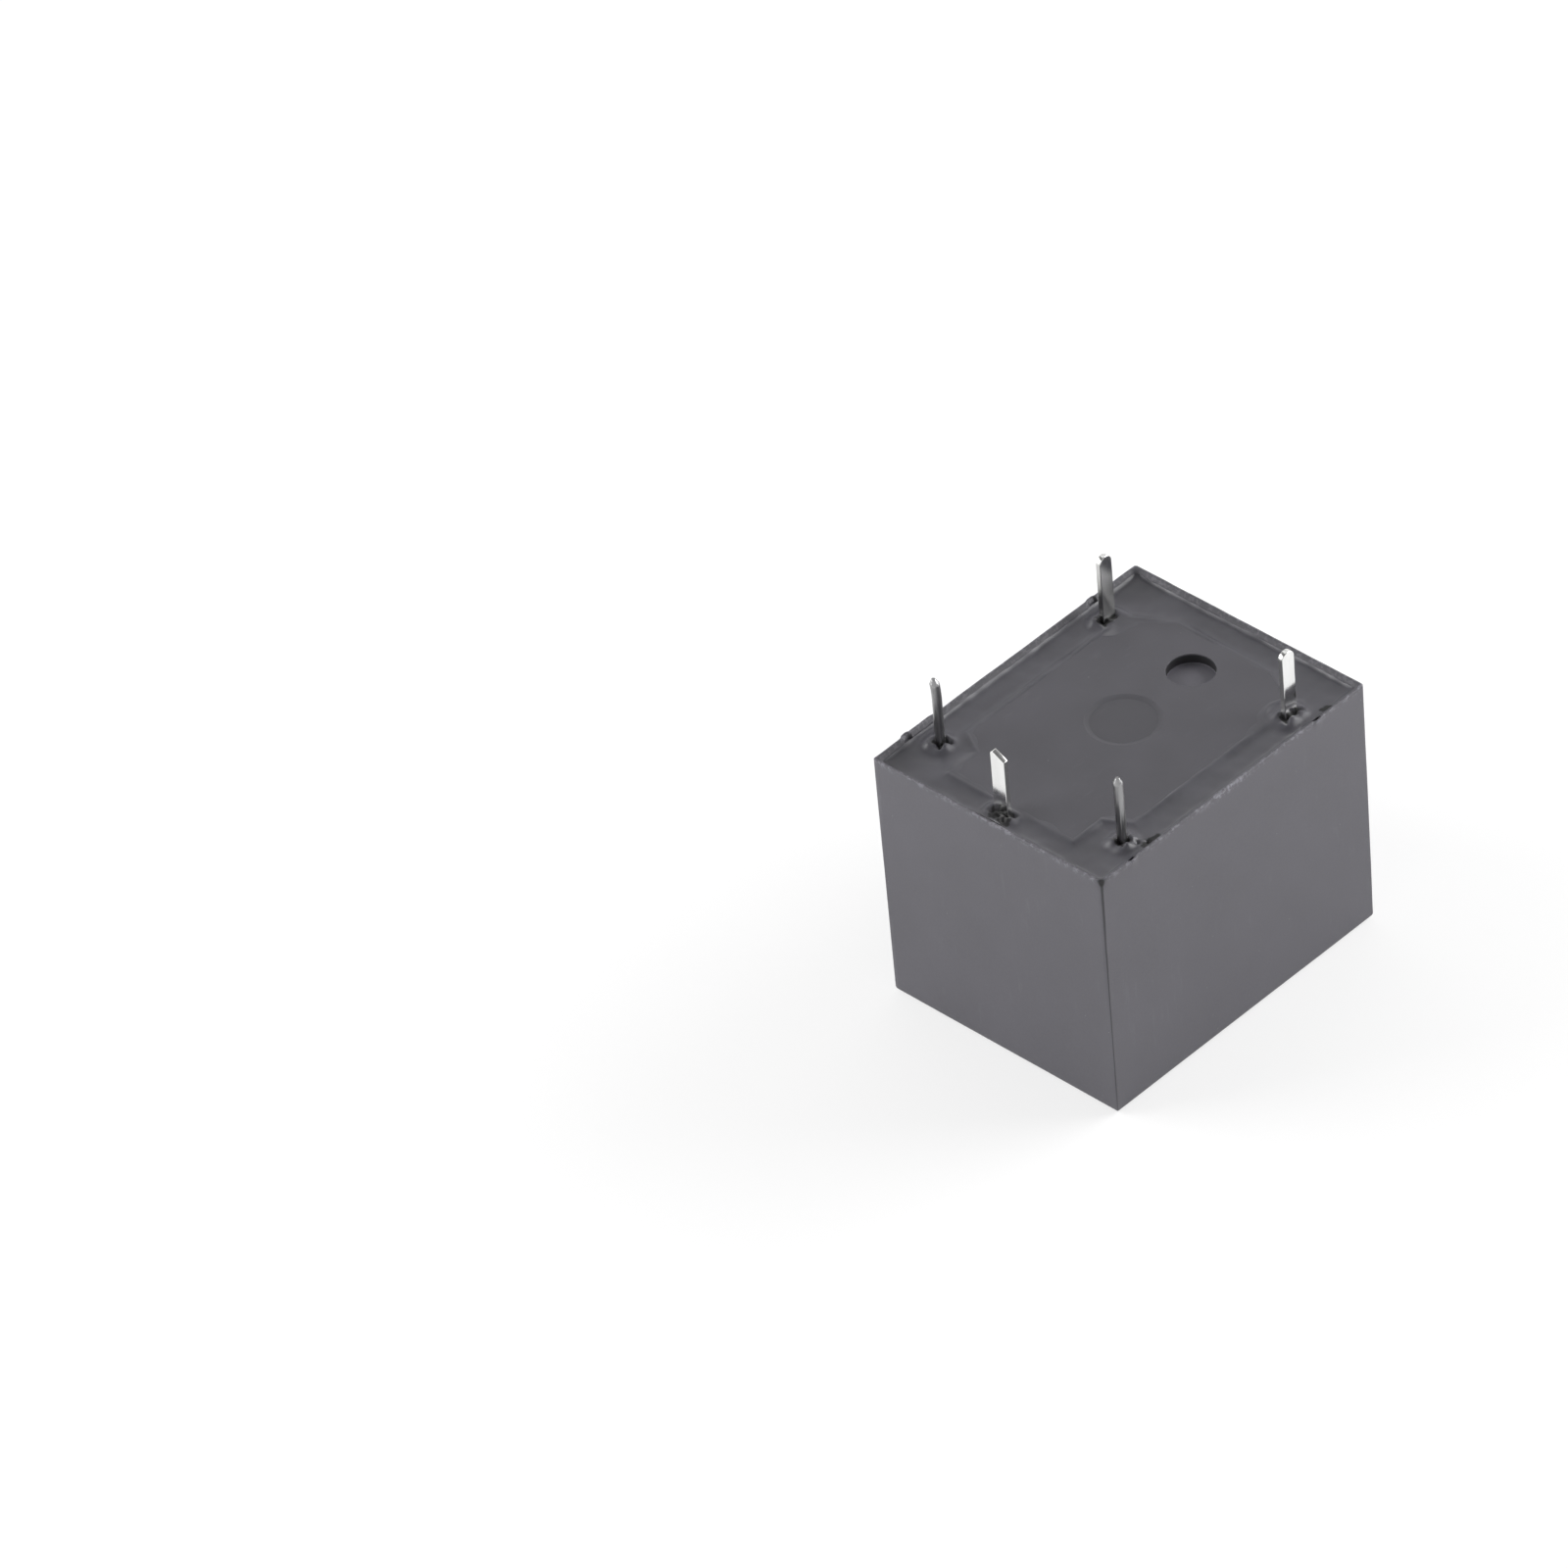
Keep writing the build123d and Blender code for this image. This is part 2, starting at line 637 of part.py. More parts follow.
with BuildPart() as armature:
    with BuildSketch(armature_plane):
        with BuildLine():
            Polyline(
                (0, armature_hinge_width / 2),
                (armature_neck, armature_hinge_width / 2),
                (armature_neck, armature_free_width / 2),
                (armature_length, armature_free_width / 2),
                (armature_length, -armature_free_width / 2),
                (armature_neck, -armature_free_width / 2),
                (armature_neck, -armature_hinge_width / 2),
                (0, -armature_hinge_width / 2),
                close=True,
            )
        make_face()
    extrude(amount=-armature_thickness)
    upright = Axis(armature_plane.origin, armature_plane.z_dir)
    fillet(armature.edges().filter_by(upright).sort_by(Axis.X)[-2:], radius=armature_corner_radius)
    with BuildSketch(armature_plane.offset(-armature_thickness)):
        with Locations(*armature_bosses):
            Circle(armature_boss_diameter / 2)
    extrude(amount=-spring_thickness)
    with BuildSketch(armature_plane.offset(-armature_thickness - spring_thickness)):
        with Locations(*armature_bosses):
            Circle(staked_head_diameter / 2)
    extrude(amount=-staked_head_height)
armature.part.label = "armature"
export_step(armature.part, "parts/armature.step")


# Moving spring: a leaf from the yoke's back, bulged round the hinge and along the armature
spring_x = yoke_back_x - spring_thickness / 2
spring_tail_z = yoke_boss_z + spring_tail_above_boss
spring_line_z = -armature_thickness - spring_thickness / 2
bulge_x = spring_x - spring_bulge
bulge_run = (bulge_x - hinge_x) / cos(rest_tilt)
bulge_point = armature_plane.from_local_coords((bulge_run, 0, spring_line_z))
spring_tip_run = contact_arm + spring_tip_overhang
spring_tip = armature_plane.from_local_coords((spring_tip_run, 0, spring_line_z))

with BuildPart() as moving_spring:
    with BuildSketch(Plane.XZ):
        with BuildLine() as spring_path:
            FilletPolyline(
                (spring_x, spring_tail_z),
                (spring_x, hinge_z + spring_bulge_drop),
                (bulge_point.X, bulge_point.Z),
                (spring_tip.X, spring_tip.Z),
                radius=spring_bend_radius,
            )
        trace(line_width=spring_thickness)
    extrude(amount=spring_tail_width / 2, both=True)
    with BuildSketch(armature_plane):
        with BuildLine():
            side_cut = [
                (armature_length, spring_arm_width / 2),
                (spring_tip_run - contact_head_diameter, spring_tip_width / 2),
                (spring_tip_run + 1, spring_tip_width / 2),
                (spring_tip_run + 1, spring_tail_width),
                (armature_neck, spring_tail_width),
                (armature_neck, spring_arm_width / 2),
            ]
            Polyline(*side_cut, close=True)
        make_face()
        mirror(about=Plane.XZ)
    extrude(amount=-2 * moving_stack, mode=Mode.SUBTRACT)
    with BuildSketch(armature_plane):
        with Locations(*armature_bosses):
            Circle(armature_boss_diameter / 2 + boss_hole_clearance)
        with Locations((contact_arm, 0)):
            Circle(contact_shank_diameter / 2 + boss_hole_clearance)
    extrude(amount=-moving_stack, mode=Mode.SUBTRACT)
    with BuildSketch(back_plane):
        with Locations(*boss_places):
            Circle(yoke_boss_diameter / 2 + boss_hole_clearance)
    extrude(amount=spring_thickness, mode=Mode.SUBTRACT)
moving_spring.part.label = "moving_spring"
export_step(moving_spring.part, "parts/moving_spring.step")


# Moving contact: one rivet with a domed head on each side of the spring's free end
spring_top_z = -armature_thickness
spring_under_z = spring_top_z - spring_thickness
upper_face_z = spring_top_z + contact_head_height
lower_face_z = spring_under_z - contact_head_height
head_radius = contact_head_diameter / 2
dome_radius = (head_radius**2 + contact_dome_height**2) / (2 * contact_dome_height)
half_dome = dome_radius - (dome_radius**2 - (head_radius / 2) ** 2) ** 0.5
contact_section = Plane(armature_plane.origin, x_dir=armature_plane.x_dir, z_dir=(0, -1, 0))

with BuildPart() as moving_contact:
    with BuildSketch(contact_section):
        with BuildLine():
            Polyline(
                (contact_arm, upper_face_z),
                (contact_arm, lower_face_z),
            )
            ThreePointArc(
                (contact_arm, lower_face_z),
                (contact_arm + head_radius / 2, lower_face_z + half_dome),
                (contact_arm + head_radius, lower_face_z + contact_dome_height),
            )
            Polyline(
                (contact_arm + head_radius, lower_face_z + contact_dome_height),
                (contact_arm + head_radius, spring_under_z),
                (contact_arm + contact_shank_diameter / 2, spring_under_z),
                (contact_arm + contact_shank_diameter / 2, spring_top_z),
                (contact_arm + head_radius, spring_top_z),
                (contact_arm + head_radius, upper_face_z - contact_dome_height),
            )
            ThreePointArc(
                (contact_arm + head_radius, upper_face_z - contact_dome_height),
                (contact_arm + head_radius / 2, upper_face_z - half_dome),
                (contact_arm, upper_face_z),
            )
        make_face()
    contact_foot = armature_plane.from_local_coords((contact_arm, 0, 0))
    revolve(axis=Axis(contact_foot, armature_plane.z_dir))
moving_contact.part.label = "moving_contact"
export_step(moving_contact.part, "parts/moving_contact.step")
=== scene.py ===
import math

import bmesh
import bpy
import numpy as np
from bpy.props import FloatProperty, FloatVectorProperty, IntProperty, PointerProperty
from bpy.types import Operator, Panel, PropertyGroup
from mathutils import Matrix, Vector


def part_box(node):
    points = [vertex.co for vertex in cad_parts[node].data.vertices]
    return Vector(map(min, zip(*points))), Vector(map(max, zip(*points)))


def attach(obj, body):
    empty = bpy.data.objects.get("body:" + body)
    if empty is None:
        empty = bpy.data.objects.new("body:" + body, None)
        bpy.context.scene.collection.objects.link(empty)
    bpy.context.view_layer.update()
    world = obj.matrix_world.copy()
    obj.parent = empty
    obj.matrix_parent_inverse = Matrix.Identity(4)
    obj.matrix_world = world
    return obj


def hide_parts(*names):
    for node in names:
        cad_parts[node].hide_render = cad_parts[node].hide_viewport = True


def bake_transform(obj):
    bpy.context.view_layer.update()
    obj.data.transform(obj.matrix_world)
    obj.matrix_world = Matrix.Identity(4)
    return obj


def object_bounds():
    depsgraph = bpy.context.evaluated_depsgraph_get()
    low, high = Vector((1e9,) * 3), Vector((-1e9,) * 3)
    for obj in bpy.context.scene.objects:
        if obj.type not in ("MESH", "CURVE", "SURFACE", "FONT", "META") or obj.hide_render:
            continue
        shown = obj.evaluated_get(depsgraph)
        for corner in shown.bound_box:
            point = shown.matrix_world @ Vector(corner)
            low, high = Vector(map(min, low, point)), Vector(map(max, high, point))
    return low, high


bl_info = {
    "name": "Circuit board relay",
    "version": (1, 0, 0),
    "blender": (4, 5, 0),
    "location": "3D View > Sidebar > Relay",
    "description": "Finishes a sealed circuit board relay over its CAD solids",
    "category": "Object",
}

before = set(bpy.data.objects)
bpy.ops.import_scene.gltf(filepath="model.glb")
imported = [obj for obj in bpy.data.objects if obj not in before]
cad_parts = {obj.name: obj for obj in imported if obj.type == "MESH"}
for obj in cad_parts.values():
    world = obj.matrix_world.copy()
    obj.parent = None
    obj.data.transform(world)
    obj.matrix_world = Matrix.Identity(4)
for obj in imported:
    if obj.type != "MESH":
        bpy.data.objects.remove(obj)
cad_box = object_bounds()

MM = 0.001
cover_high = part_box("cover")[1]
seal_low, seal_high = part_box("epoxy_seal")
winding_low, winding_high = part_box("coil_winding")
RIM = cover_high.z / MM


# Sizes and colours

def size(name, description, millimetres):
    """A length property whose default is given in millimetres."""
    return FloatProperty(
        name=name, description=description, default=millimetres * MM,
        subtype="DISTANCE", unit="LENGTH", precision=5,
    )


def share(name, description, value):
    """A plain share from nothing to all."""
    return FloatProperty(name=name, description=description, default=value, min=0, max=1, subtype="FACTOR")


def power(name, description, watts):
    """A lamp's power in watts."""
    return FloatProperty(name=name, description=description, default=watts, min=0, subtype="POWER")


def tone(name, description, colour):
    """A linear colour property."""
    return FloatVectorProperty(
        name=name, description=description, default=colour, size=3, min=0, max=1, subtype="COLOR",
    )


class CoverSettings(PropertyGroup):
    """The moulded cover."""
    draft: FloatProperty(
        name="Draft", description="Taper of the outer walls towards the closed face",
        default=math.radians(0.44), subtype="ANGLE", unit="ROTATION",
    )
    corner_radius: size("Corner radius", "Rounding of the upright outer corners", 0.14)
    closed_edge_radius: size("Closed edge radius", "Rounding round the closed face", 0.3)
    wall: size("Wall", "Thickness of the walls and of the closed face", 0.6)
    rim_wall: size("Rim wall", "Thickness of the thinned rim", 0.3)
    rim_depth: size("Rim depth", "Depth of the thinned rim down to the ledge", 2.2)
    rim_rounding: size("Rim rounding", "Rounding of the rim's outer edge", 0.05)
    mouth_bevel: size("Mouth bevel", "Width of the bevel on the rim's inner edge", 0.2)
    notch_width: size("Notch width", "Width of the small notches inside the rim", 0.45)
    notch_height: size("Notch height", "Depth of the notches below the rim", 0.3)
    notch_depth: size("Notch depth", "How far the notches cut into the rim wall", 0.14)
    notch_swell: size("Notch swell", "How far the rim swells out beside each notch", 0.07)
    notch_com_inset: size("Notch inset, common end", "From the common end to the first notches", 2.3)
    notch_contact_inset: size("Notch inset, contact end", "From the contact end to the other notches", 3.4)
    sink: size("Sink", "How far the walls sink in at their middles", 0.025)
    rim_push: size("Pushed rim", "How far the rim stands out beside one coil pin", 0.06)
    plastic: tone("Plastic", "Colour of the moulded plastic", (0.092, 0.0895, 0.1025))


class PottingSettings(PropertyGroup):
    """The potting compound round the island."""
    island_start: size("Island start", "Island's edge at the common end", -7.85)
    island_end: size("Island end", "Island's edge at the contact end", 7.75)
    island_side: size("Island side", "Island's edge at each long side", 5.5)
    island_drop: size("Island drop", "Island's top below the rim", 0.3)
    drop: size("Level drop", "Compound's level below the rim", 0.47)
    steep_rise: size("Steep rise", "Height of the steep part of the climb up the rim", 0.15)
    steep_reach: size("Steep reach", "How far from the rim the steep part fades", 0.13)
    slow_rise: size("Slow rise", "Height of the slow part of the climb up the rim", 0.11)
    slow_reach: size("Slow reach", "How far from the rim the slow part fades", 0.5)
    collar_rise: size("Collar rise", "How far the compound heaps up round each pin", 0.43)
    collar_reach: size("Collar reach", "How far from a pin that heap ends", 0.6)
    crevice: size("Crevice", "Depth of the hollow between the heap and each pin", 0.26)
    crevice_reach: size("Crevice reach", "Width of that hollow", 0.2)
    creep: size("Creep", "How far the compound runs over the island's edge", 0.07)
    spacing: size("Mesh spacing", "Distance between the surface's points", 0.06)
    resin: tone("Resin", "Colour of the set compound", (0.073, 0.0715, 0.083))


class PinSettings(PropertyGroup):
    """The tinned pins."""
    edge_rounding: size("Edge rounding", "Rounding of the blades' edges", 0.035)
    bend: size("Bend", "How far a coil pin's cut end leans over", 0.1)
    bent_length: size("Bent length", "Length of that bent end", 1.3)
    tin: tone("Tin", "Colour of the bright tinned faces", (0.93, 0.93, 0.92))
    sheared: tone("Sheared edge", "Colour of the duller sheared edges", (0.62, 0.62, 0.61))


class CoilSettings(PropertyGroup):
    """The winding."""
    wire: size("Wire", "Diameter of the wire over its enamel", 0.19)
    turn_sides: IntProperty(name="Turn points", description="Points in each turn", default=72, min=12)
    copper: tone("Enamelled copper", "Colour of the enamelled wire", (0.52, 0.17, 0.055))


class StageSettings(PropertyGroup):
    """Floor, lamps and camera."""
    camera_place: FloatVectorProperty(
        name="Camera place", description="Where the camera stands", default=(-0.33925, -0.33544, 0.40818),
        size=3, subtype="TRANSLATION", unit="LENGTH", precision=5,
    )
    camera_right: FloatVectorProperty(
        name="Camera right", description="Direction to the right of the picture",
        default=(0.6838, -0.7262, -0.0712), size=3, subtype="DIRECTION",
    )
    camera_forward: FloatVectorProperty(
        name="Camera forward", description="Direction that the camera looks in",
        default=(0.5283, 0.5600, -0.6381), size=3, subtype="DIRECTION",
    )
    lens: FloatProperty(name="Lens", description="Focal length in millimetres", default=290.06, min=1)
    side_lamp: power("Side lamps", "Power of each side lamp in watts", 0.26)
    upper_lamp: power("Upper lamp", "Power of the lamp above in watts", 0.36)
    floor: tone("Floor", "Colour of the floor", (0.8, 0.8, 0.8))
    floor_shade: share("Floor shade", "How much of the floor's own light and shadow shows", 0.46)
    floor_glow: share("Floor glow", "Even white that the camera sees", 0.65)
    mirror_shade: share("Mirrored shade", "How much of the floor's own light and shadow is reflected", 1.0)
    mirror_glow: share("Mirrored glow", "Even white that reflections see", 0.2)


# Meshes

MERGE_DISTANCE = 2e-7
FLAT_DEGREES = 0.5
RIPPLE_WAVES = 14
RIPPLE_HEIGHT = 4.5


def linked(name, data):
    """An object in the scene for a mesh, a lamp or a camera."""
    made = bpy.data.objects.new(name, data)
    bpy.context.scene.collection.objects.link(made)
    return made


def mesh_piece(name, points, faces):
    """An object at the origin from points in metres and lists of point numbers."""
    mesh = bpy.data.meshes.new(name)
    mesh.from_pydata([tuple(p) for p in points], [], [tuple(f) for f in faces])
    mesh.update()
    return linked(name, mesh)


def smooth_shaded(piece, sharp_degrees):
    """Shades a piece smooth except across its sharp edges."""
    mesh = piece.data
    mesh.polygons.foreach_set("use_smooth", [True] * len(mesh.polygons))
    mesh.set_sharp_from_angle(angle=math.radians(sharp_degrees))
    mesh.update()


def plain_mesh(piece):
    """Turns a piece and its modifiers into a plain mesh."""
    graph = bpy.context.evaluated_depsgraph_get()
    graph.update()
    plain = bpy.data.meshes.new_from_object(piece.evaluated_get(graph))
    plain.name = piece.name
    piece.modifiers.clear()
    piece.data = plain


def finished(piece, body, slot, material, *nodes):
    """Gives a piece its material and body, and lets it stand for its CAD nodes."""
    piece.data.materials.clear()
    piece.data.materials.append(material)
    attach(piece, body)
    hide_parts(*nodes)


def softened(node, name, rounding, lowest=-1.0, segments=2, sharpest=28, cuts=(), shape=None, crease=50):
    """A copy of a CAD node with rounded edges above a level, ring cuts and points moved by a rule."""
    work = bmesh.new()
    work.from_mesh(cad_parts[node].data)
    bmesh.ops.remove_doubles(work, verts=work.verts, dist=MERGE_DISTANCE)
    bmesh.ops.dissolve_limit(
        work, angle_limit=math.radians(FLAT_DEGREES), verts=work.verts, edges=work.edges,
    )
    work.normal_update()
    sharp = [
        edge for edge in work.edges
        if len(edge.link_faces) == 2
        and edge.calc_face_angle(0) > math.radians(sharpest)
        and min(vert.co.z for vert in edge.verts) > lowest
    ]
    bmesh.ops.bevel(
        work, geom=sharp, offset=rounding, offset_type="OFFSET", segments=segments,
        profile=0.5, affect="EDGES", clamp_overlap=True,
    )
    for level in cuts:
        parts = work.verts[:] + work.edges[:] + work.faces[:]
        bmesh.ops.bisect_plane(work, geom=parts, plane_co=(0, 0, level), plane_no=(0, 0, 1))
    if shape:
        for vert in work.verts:
            shape(vert.co)
    work.normal_update()
    for face in work.faces:
        face.smooth = True
    for edge in work.edges:
        edge.smooth = len(edge.link_faces) == 2 and edge.calc_face_angle(0) < math.radians(crease)
    mesh = bpy.data.meshes.new(name)
    work.to_mesh(mesh)
    work.free()
    made = linked(name, mesh)
    weighted = made.modifiers.new("flat faces", "WEIGHTED_NORMAL")
    weighted.keep_sharp = True
    plain_mesh(made)
    return made


def ripple(x, y, length, seed):
    """A smooth, repeatable unevenness between about -1 and 1."""
    rng = np.random.default_rng(seed)
    total = np.zeros_like(x)
    for _ in range(RIPPLE_WAVES):
        angle, phase = rng.uniform(0, 2 * math.pi, 2)
        wave = 2 * math.pi / (length * rng.uniform(0.6, 1.8))
        total = total + np.sin(wave * (x * math.cos(angle) + y * math.sin(angle)) + phase)
    return total / RIPPLE_HEIGHT


def hill(x, y, centre_x, centre_y, reach):
    """A round rise of one that fades over a reach."""
    return np.exp(-(((x - centre_x) ** 2 + (y - centre_y) ** 2) / reach**2))


def eased(share_of_way):
    """A share of the way with a soft start and end."""
    return share_of_way * share_of_way * (3 - 2 * share_of_way)


# Cover

LOOP_STEPS = (188, 72, 6)  # points along x, along y and round each corner
COMMON_INSET = 0.2 * MM
COMMON_SHARES = (0.78, 0.7)  # of the sides along x and along y
FACING = 0.7  # the least share of a direction that counts as facing that way
FLOOR_INSETS = (1.2 * MM, 0.55 * MM)
OUTER_LEVELS = (0.55, 1.0, 2, 3.5, 5, 6.5, 8, 9.5, 11, 12, 12.8, 13.4, 13.9, 14.3, 14.6, 14.8)
MOUTH_SECTION = ((0.0, 1.0), (0.06, 0.86), (0.2, 0.68), (0.9, 0.1), (1.1, 0.0))  # drop and width, of the bevel
CAVITY_STEPS = (0.0, 0.04, 0.5, 0.96, 1.0)
LEAST_RADIUS, MOUTH_RADIUS, CAVITY_RADIUS = 0.05 * MM, 0.25 * MM, 0.35 * MM
WALL_RIPPLE, RIM_RIPPLE, RIM_DIP = 0.006 * MM, 0.010 * MM, 0.008 * MM
SIDE_SHIFT = 40  # keeps the ripples of the four sides apart
PUSHED_START, PUSHED_END, PUSHED_SOFT = -7.2 * MM, -5.6 * MM, 0.6 * MM
PUSHED_HEIGHT, LIFTED_HEIGHT, SWOLLEN_HEIGHT = 1.3 * MM, 0.6 * MM, 0.5 * MM
CHIP_REACH, CHIP_DEPTH = 0.3 * MM, 0.1 * MM
LEAST_RIM = 0.03 * MM  # left of the rim's wall behind a notch


def side_run(end, common_end, own, steps):
    """Places along a straight side, the same at every level but near its ends."""
    run = np.linspace(-1, 1, steps)
    near_end = eased(np.clip((np.abs(run) - own) / (1 - own), 0, 1))
    return run * (common_end + (end - common_end) * near_end)


def corner_points(x, y, radius, start, steps):
    """Points inside a quarter circle, without its ends."""
    angles = np.radians(start + 90 * np.arange(1, steps + 1) / (steps + 1))
    return [(x + radius * math.cos(a), y + radius * math.sin(a), math.cos(a), math.sin(a)) for a in angles]


def rounded_loop(half_x, half_y, radius):
    """Points and outward directions round a rounded rectangle, anticlockwise."""
    steps_x, steps_y, steps_corner = LOOP_STEPS
    end_x, end_y = half_x - radius, half_y - radius
    run_x = side_run(end_x, cover_high.x - COMMON_INSET, COMMON_SHARES[0], steps_x)
    run_y = side_run(end_y, cover_high.y - COMMON_INSET, COMMON_SHARES[1], steps_y)
    sides = (
        ([(x, -half_y, 0, -1) for x in run_x], end_x, -end_y, -90),
        ([(half_x, y, 1, 0) for y in run_y], end_x, end_y, 0),
        ([(x, half_y, 0, 1) for x in run_x[::-1]], -end_x, end_y, 90),
        ([(-half_x, y, -1, 0) for y in run_y[::-1]], -end_x, -end_y, 180),
    )
    rows = []
    for side, x, y, start in sides:
        rows += side + corner_points(x, y, radius, start, steps_corner)
    return np.array(rows, float)


def window(value, start, end, soft):
    """One between start and end, falling to nothing over soft at each side."""
    rise = np.clip((value - start + soft) / soft, 0, 1)
    fall = np.clip((end + soft - value) / soft, 0, 1)
    return eased(rise * fall)


def near_rim(level, depth, over):
    """Nothing up to a depth below the rim, and one from a height over it."""
    return np.clip((level - (cover_high.z - depth)) / over, 0, 1)


def cover_levels(p):
    """The cover's section as (kind, level, half length, half width, corner radius), from outside in."""
    top = cover_high.z
    half_x, half_y = cover_high.x, cover_high.y
    slope = math.tan(p.draft)
    edge = p.closed_edge_radius
    rows = []

    def outer(z, inset=0.0):
        drop = (top - z) * slope + inset
        rows.append(("outer", z, half_x - drop, half_y - drop, max(p.corner_radius - drop, LEAST_RADIUS)))

    low = top * slope
    for inset in FLOOR_INSETS:
        rows.append(("floor", 0.0, half_x - low - inset, half_y - low - inset, LEAST_RADIUS))
    for k in range(7):
        a = math.radians(15 * k)
        outer(edge * (1 - math.cos(a)), edge * (1 - math.sin(a)))
    for z in OUTER_LEVELS:
        outer(z * MM)
    r = p.rim_rounding
    for k in range(4):
        a = math.radians(30 * k)
        outer(top - r * (1 - math.sin(a)), r * (1 - math.cos(a)))
    mouth_x, mouth_y = half_x - p.rim_wall, half_y - p.rim_wall
    for drop, out in MOUTH_SECTION:
        over = p.mouth_bevel * out
        rows.append(("rim", top - p.mouth_bevel * drop, mouth_x + over, mouth_y + over, MOUTH_RADIUS + over))
    notch = p.notch_height
    for drop in (0.85 * notch, 1.0 * notch):
        rows.append(("rim", top - drop, mouth_x, mouth_y, MOUTH_RADIUS))
    for drop in (1.08 * notch, 1.5 * notch, 0.5 * p.rim_depth, 0.97 * p.rim_depth, p.rim_depth):
        rows.append(("wall", top - drop, mouth_x, mouth_y, MOUTH_RADIUS))
    inner_x, inner_y = half_x - p.wall, half_y - p.wall
    depth = top - p.rim_depth - p.wall
    for k in CAVITY_STEPS:
        inset = k * depth * slope
        rows.append(("wall", top - p.rim_depth - k * depth, inner_x - inset, inner_y - inset, CAVITY_RADIUS))
    return rows


def cover_ring(p, kind, level, size_x, size_y, radius):
    """One level's points: sunk, rippled and chipped outside, pushed out and notched at the rim."""
    x, y, nx, ny = rounded_loop(size_x, size_y, radius).T
    z = np.full_like(x, level)
    push = np.zeros_like(x)
    half_x = cover_high.x
    if kind in ("outer", "rim"):
        run = np.where(np.abs(nx) > np.abs(ny), y / size_y, x / size_x)
        up = level / cover_high.z
        sink = p.sink * np.clip(1 - run**2, 0, 1) * np.clip(4 * up * (1 - up), 0, 1)
        uneven = ripple(x / MM + SIDE_SHIFT * nx, y / MM + SIDE_SHIFT * ny + level / MM, 7.0, 3)
        push = push - sink + WALL_RIPPLE * uneven
        beside = window(x, PUSHED_START, PUSHED_END, PUSHED_SOFT) * (ny > FACING)
        push = push + p.rim_push * beside * near_rim(level, PUSHED_HEIGHT, PUSHED_HEIGHT)
        lift = RIM_RIPPLE * ripple(x / MM, y / MM, 2.6, 5) - RIM_DIP + 0.5 * p.rim_push * beside
        z = z + lift * near_rim(level, LIFTED_HEIGHT, LIFTED_HEIGHT)
        nick = hill(x, y, -half_x, -cover_high.y, CHIP_REACH)
        push = push - CHIP_DEPTH * nick * near_rim(level, 0.35 * MM, 0.2 * MM)
        swollen = near_rim(level, SWOLLEN_HEIGHT, SWOLLEN_HEIGHT)
        bevelled = max(size_x - (half_x - p.rim_wall), 0)
        room = p.rim_wall - bevelled - p.rim_rounding - LEAST_RIM
        for notch_x in (-half_x + p.notch_com_inset, half_x - p.notch_contact_inset):
            near = window(x, notch_x - 0.36 * p.notch_width, notch_x + 0.36 * p.notch_width, 0.13 * MM)
            near = near * (np.abs(ny) > FACING)
            push = push + p.notch_swell * swollen * near
            if kind == "rim":
                push = push + min(p.notch_depth, room) * near
    return np.column_stack((x + nx * push, y + ny * push, z))


def cover_piece(p):
    """The moulded cover, ring by ring from the closed face up the outside and back down inside."""
    rings = [cover_ring(p, *level) for level in cover_levels(p)]
    around = len(rings[0])
    last = (len(rings) - 1) * around
    faces = []
    for low in range(0, last, around):
        for i in range(around):
            j = (i + 1) % around
            faces.append((low + i, low + j, low + around + j, low + around + i))
    faces.append(tuple(reversed(range(around))))
    faces.append(tuple(range(last, last + around)))
    made = mesh_piece("moulded_cover", np.concatenate(rings), faces)
    smooth_shaded(made, 38)
    return made


# Potting compound, in millimetres

# Each pin's x, y, half width and half depth, and near-black patches beside the pins in the same order
PIN_SECTIONS = (
    (-8.4, 0.0, 0.15, 0.45), (5.8, 6.0, 0.425, 0.15), (5.8, -6.0, 0.425, 0.15),
    (-6.4, 6.0, 0.17, 0.17), (-6.4, -6.0, 0.17, 0.17),
)
DARK_PATCHES = (
    (-8.72, -0.1, 0.24, 0.34), (-8.95, -0.55, 0.1, 0.14),
    (7.4, -6.98, 0.12, 0.05), (-5.45, -6.98, 0.45, 0.03),
)
# Each pit's x, y, reach and depth
PITS = (
    (-8.75, 0.45, 0.16, 0.22), (-8.85, -0.1, 0.14, 0.2), (-8.3, -0.68, 0.17, 0.24), (-8.95, -0.5, 0.12, 0.2),
    (5.2, -6.35, 0.12, 0.16), (6.45, -6.3, 0.12, 0.14), (-6.75, -6.35, 0.12, 0.18), (-6.0, -6.6, 0.14, 0.2),
    (-6.75, 5.75, 0.12, 0.16), (-6.1, 5.6, 0.12, 0.16), (5.3, 5.7, 0.1, 0.12), (-5.55, -6.9, 0.13, 0.2),
)
# Where the compound runs further over the island: x, y, reach and how far
CREEP_PLACES = (
    (4.5, -5.5, 1.1, 0.38), (-7.85, 3.3, 1.0, 0.3), (-7.85, -2.4, 0.9, 0.22), (6.9, 4.7, 1.0, 0.28),
    (-5.4, -4.8, 0.8, 0.25), (1.6, -5.5, 1.6, -0.05), (7.75, -1.6, 1.2, 0.12), (-5.3, 4.9, 0.7, 0.2),
)
NECK_SIDE, NECK_END, SHOULDER_START = 4.1, -5.8, -5.0
CUT_START, CUT_SIDE = 6.4, 3.1
POCKET_X, POCKET_Y, POCKET_RADIUS = 5.8, 6.0, 1.25
LEVEL_RIPPLES = ((0.02, 3.2, 11), (0.014, 1.3, 13))  # height, length and seed
MOST_CREEP = 0.5
UNDER_ISLAND = 0.62  # how far the compound's mesh runs on below the island
PIN_OVERLAP = 0.04


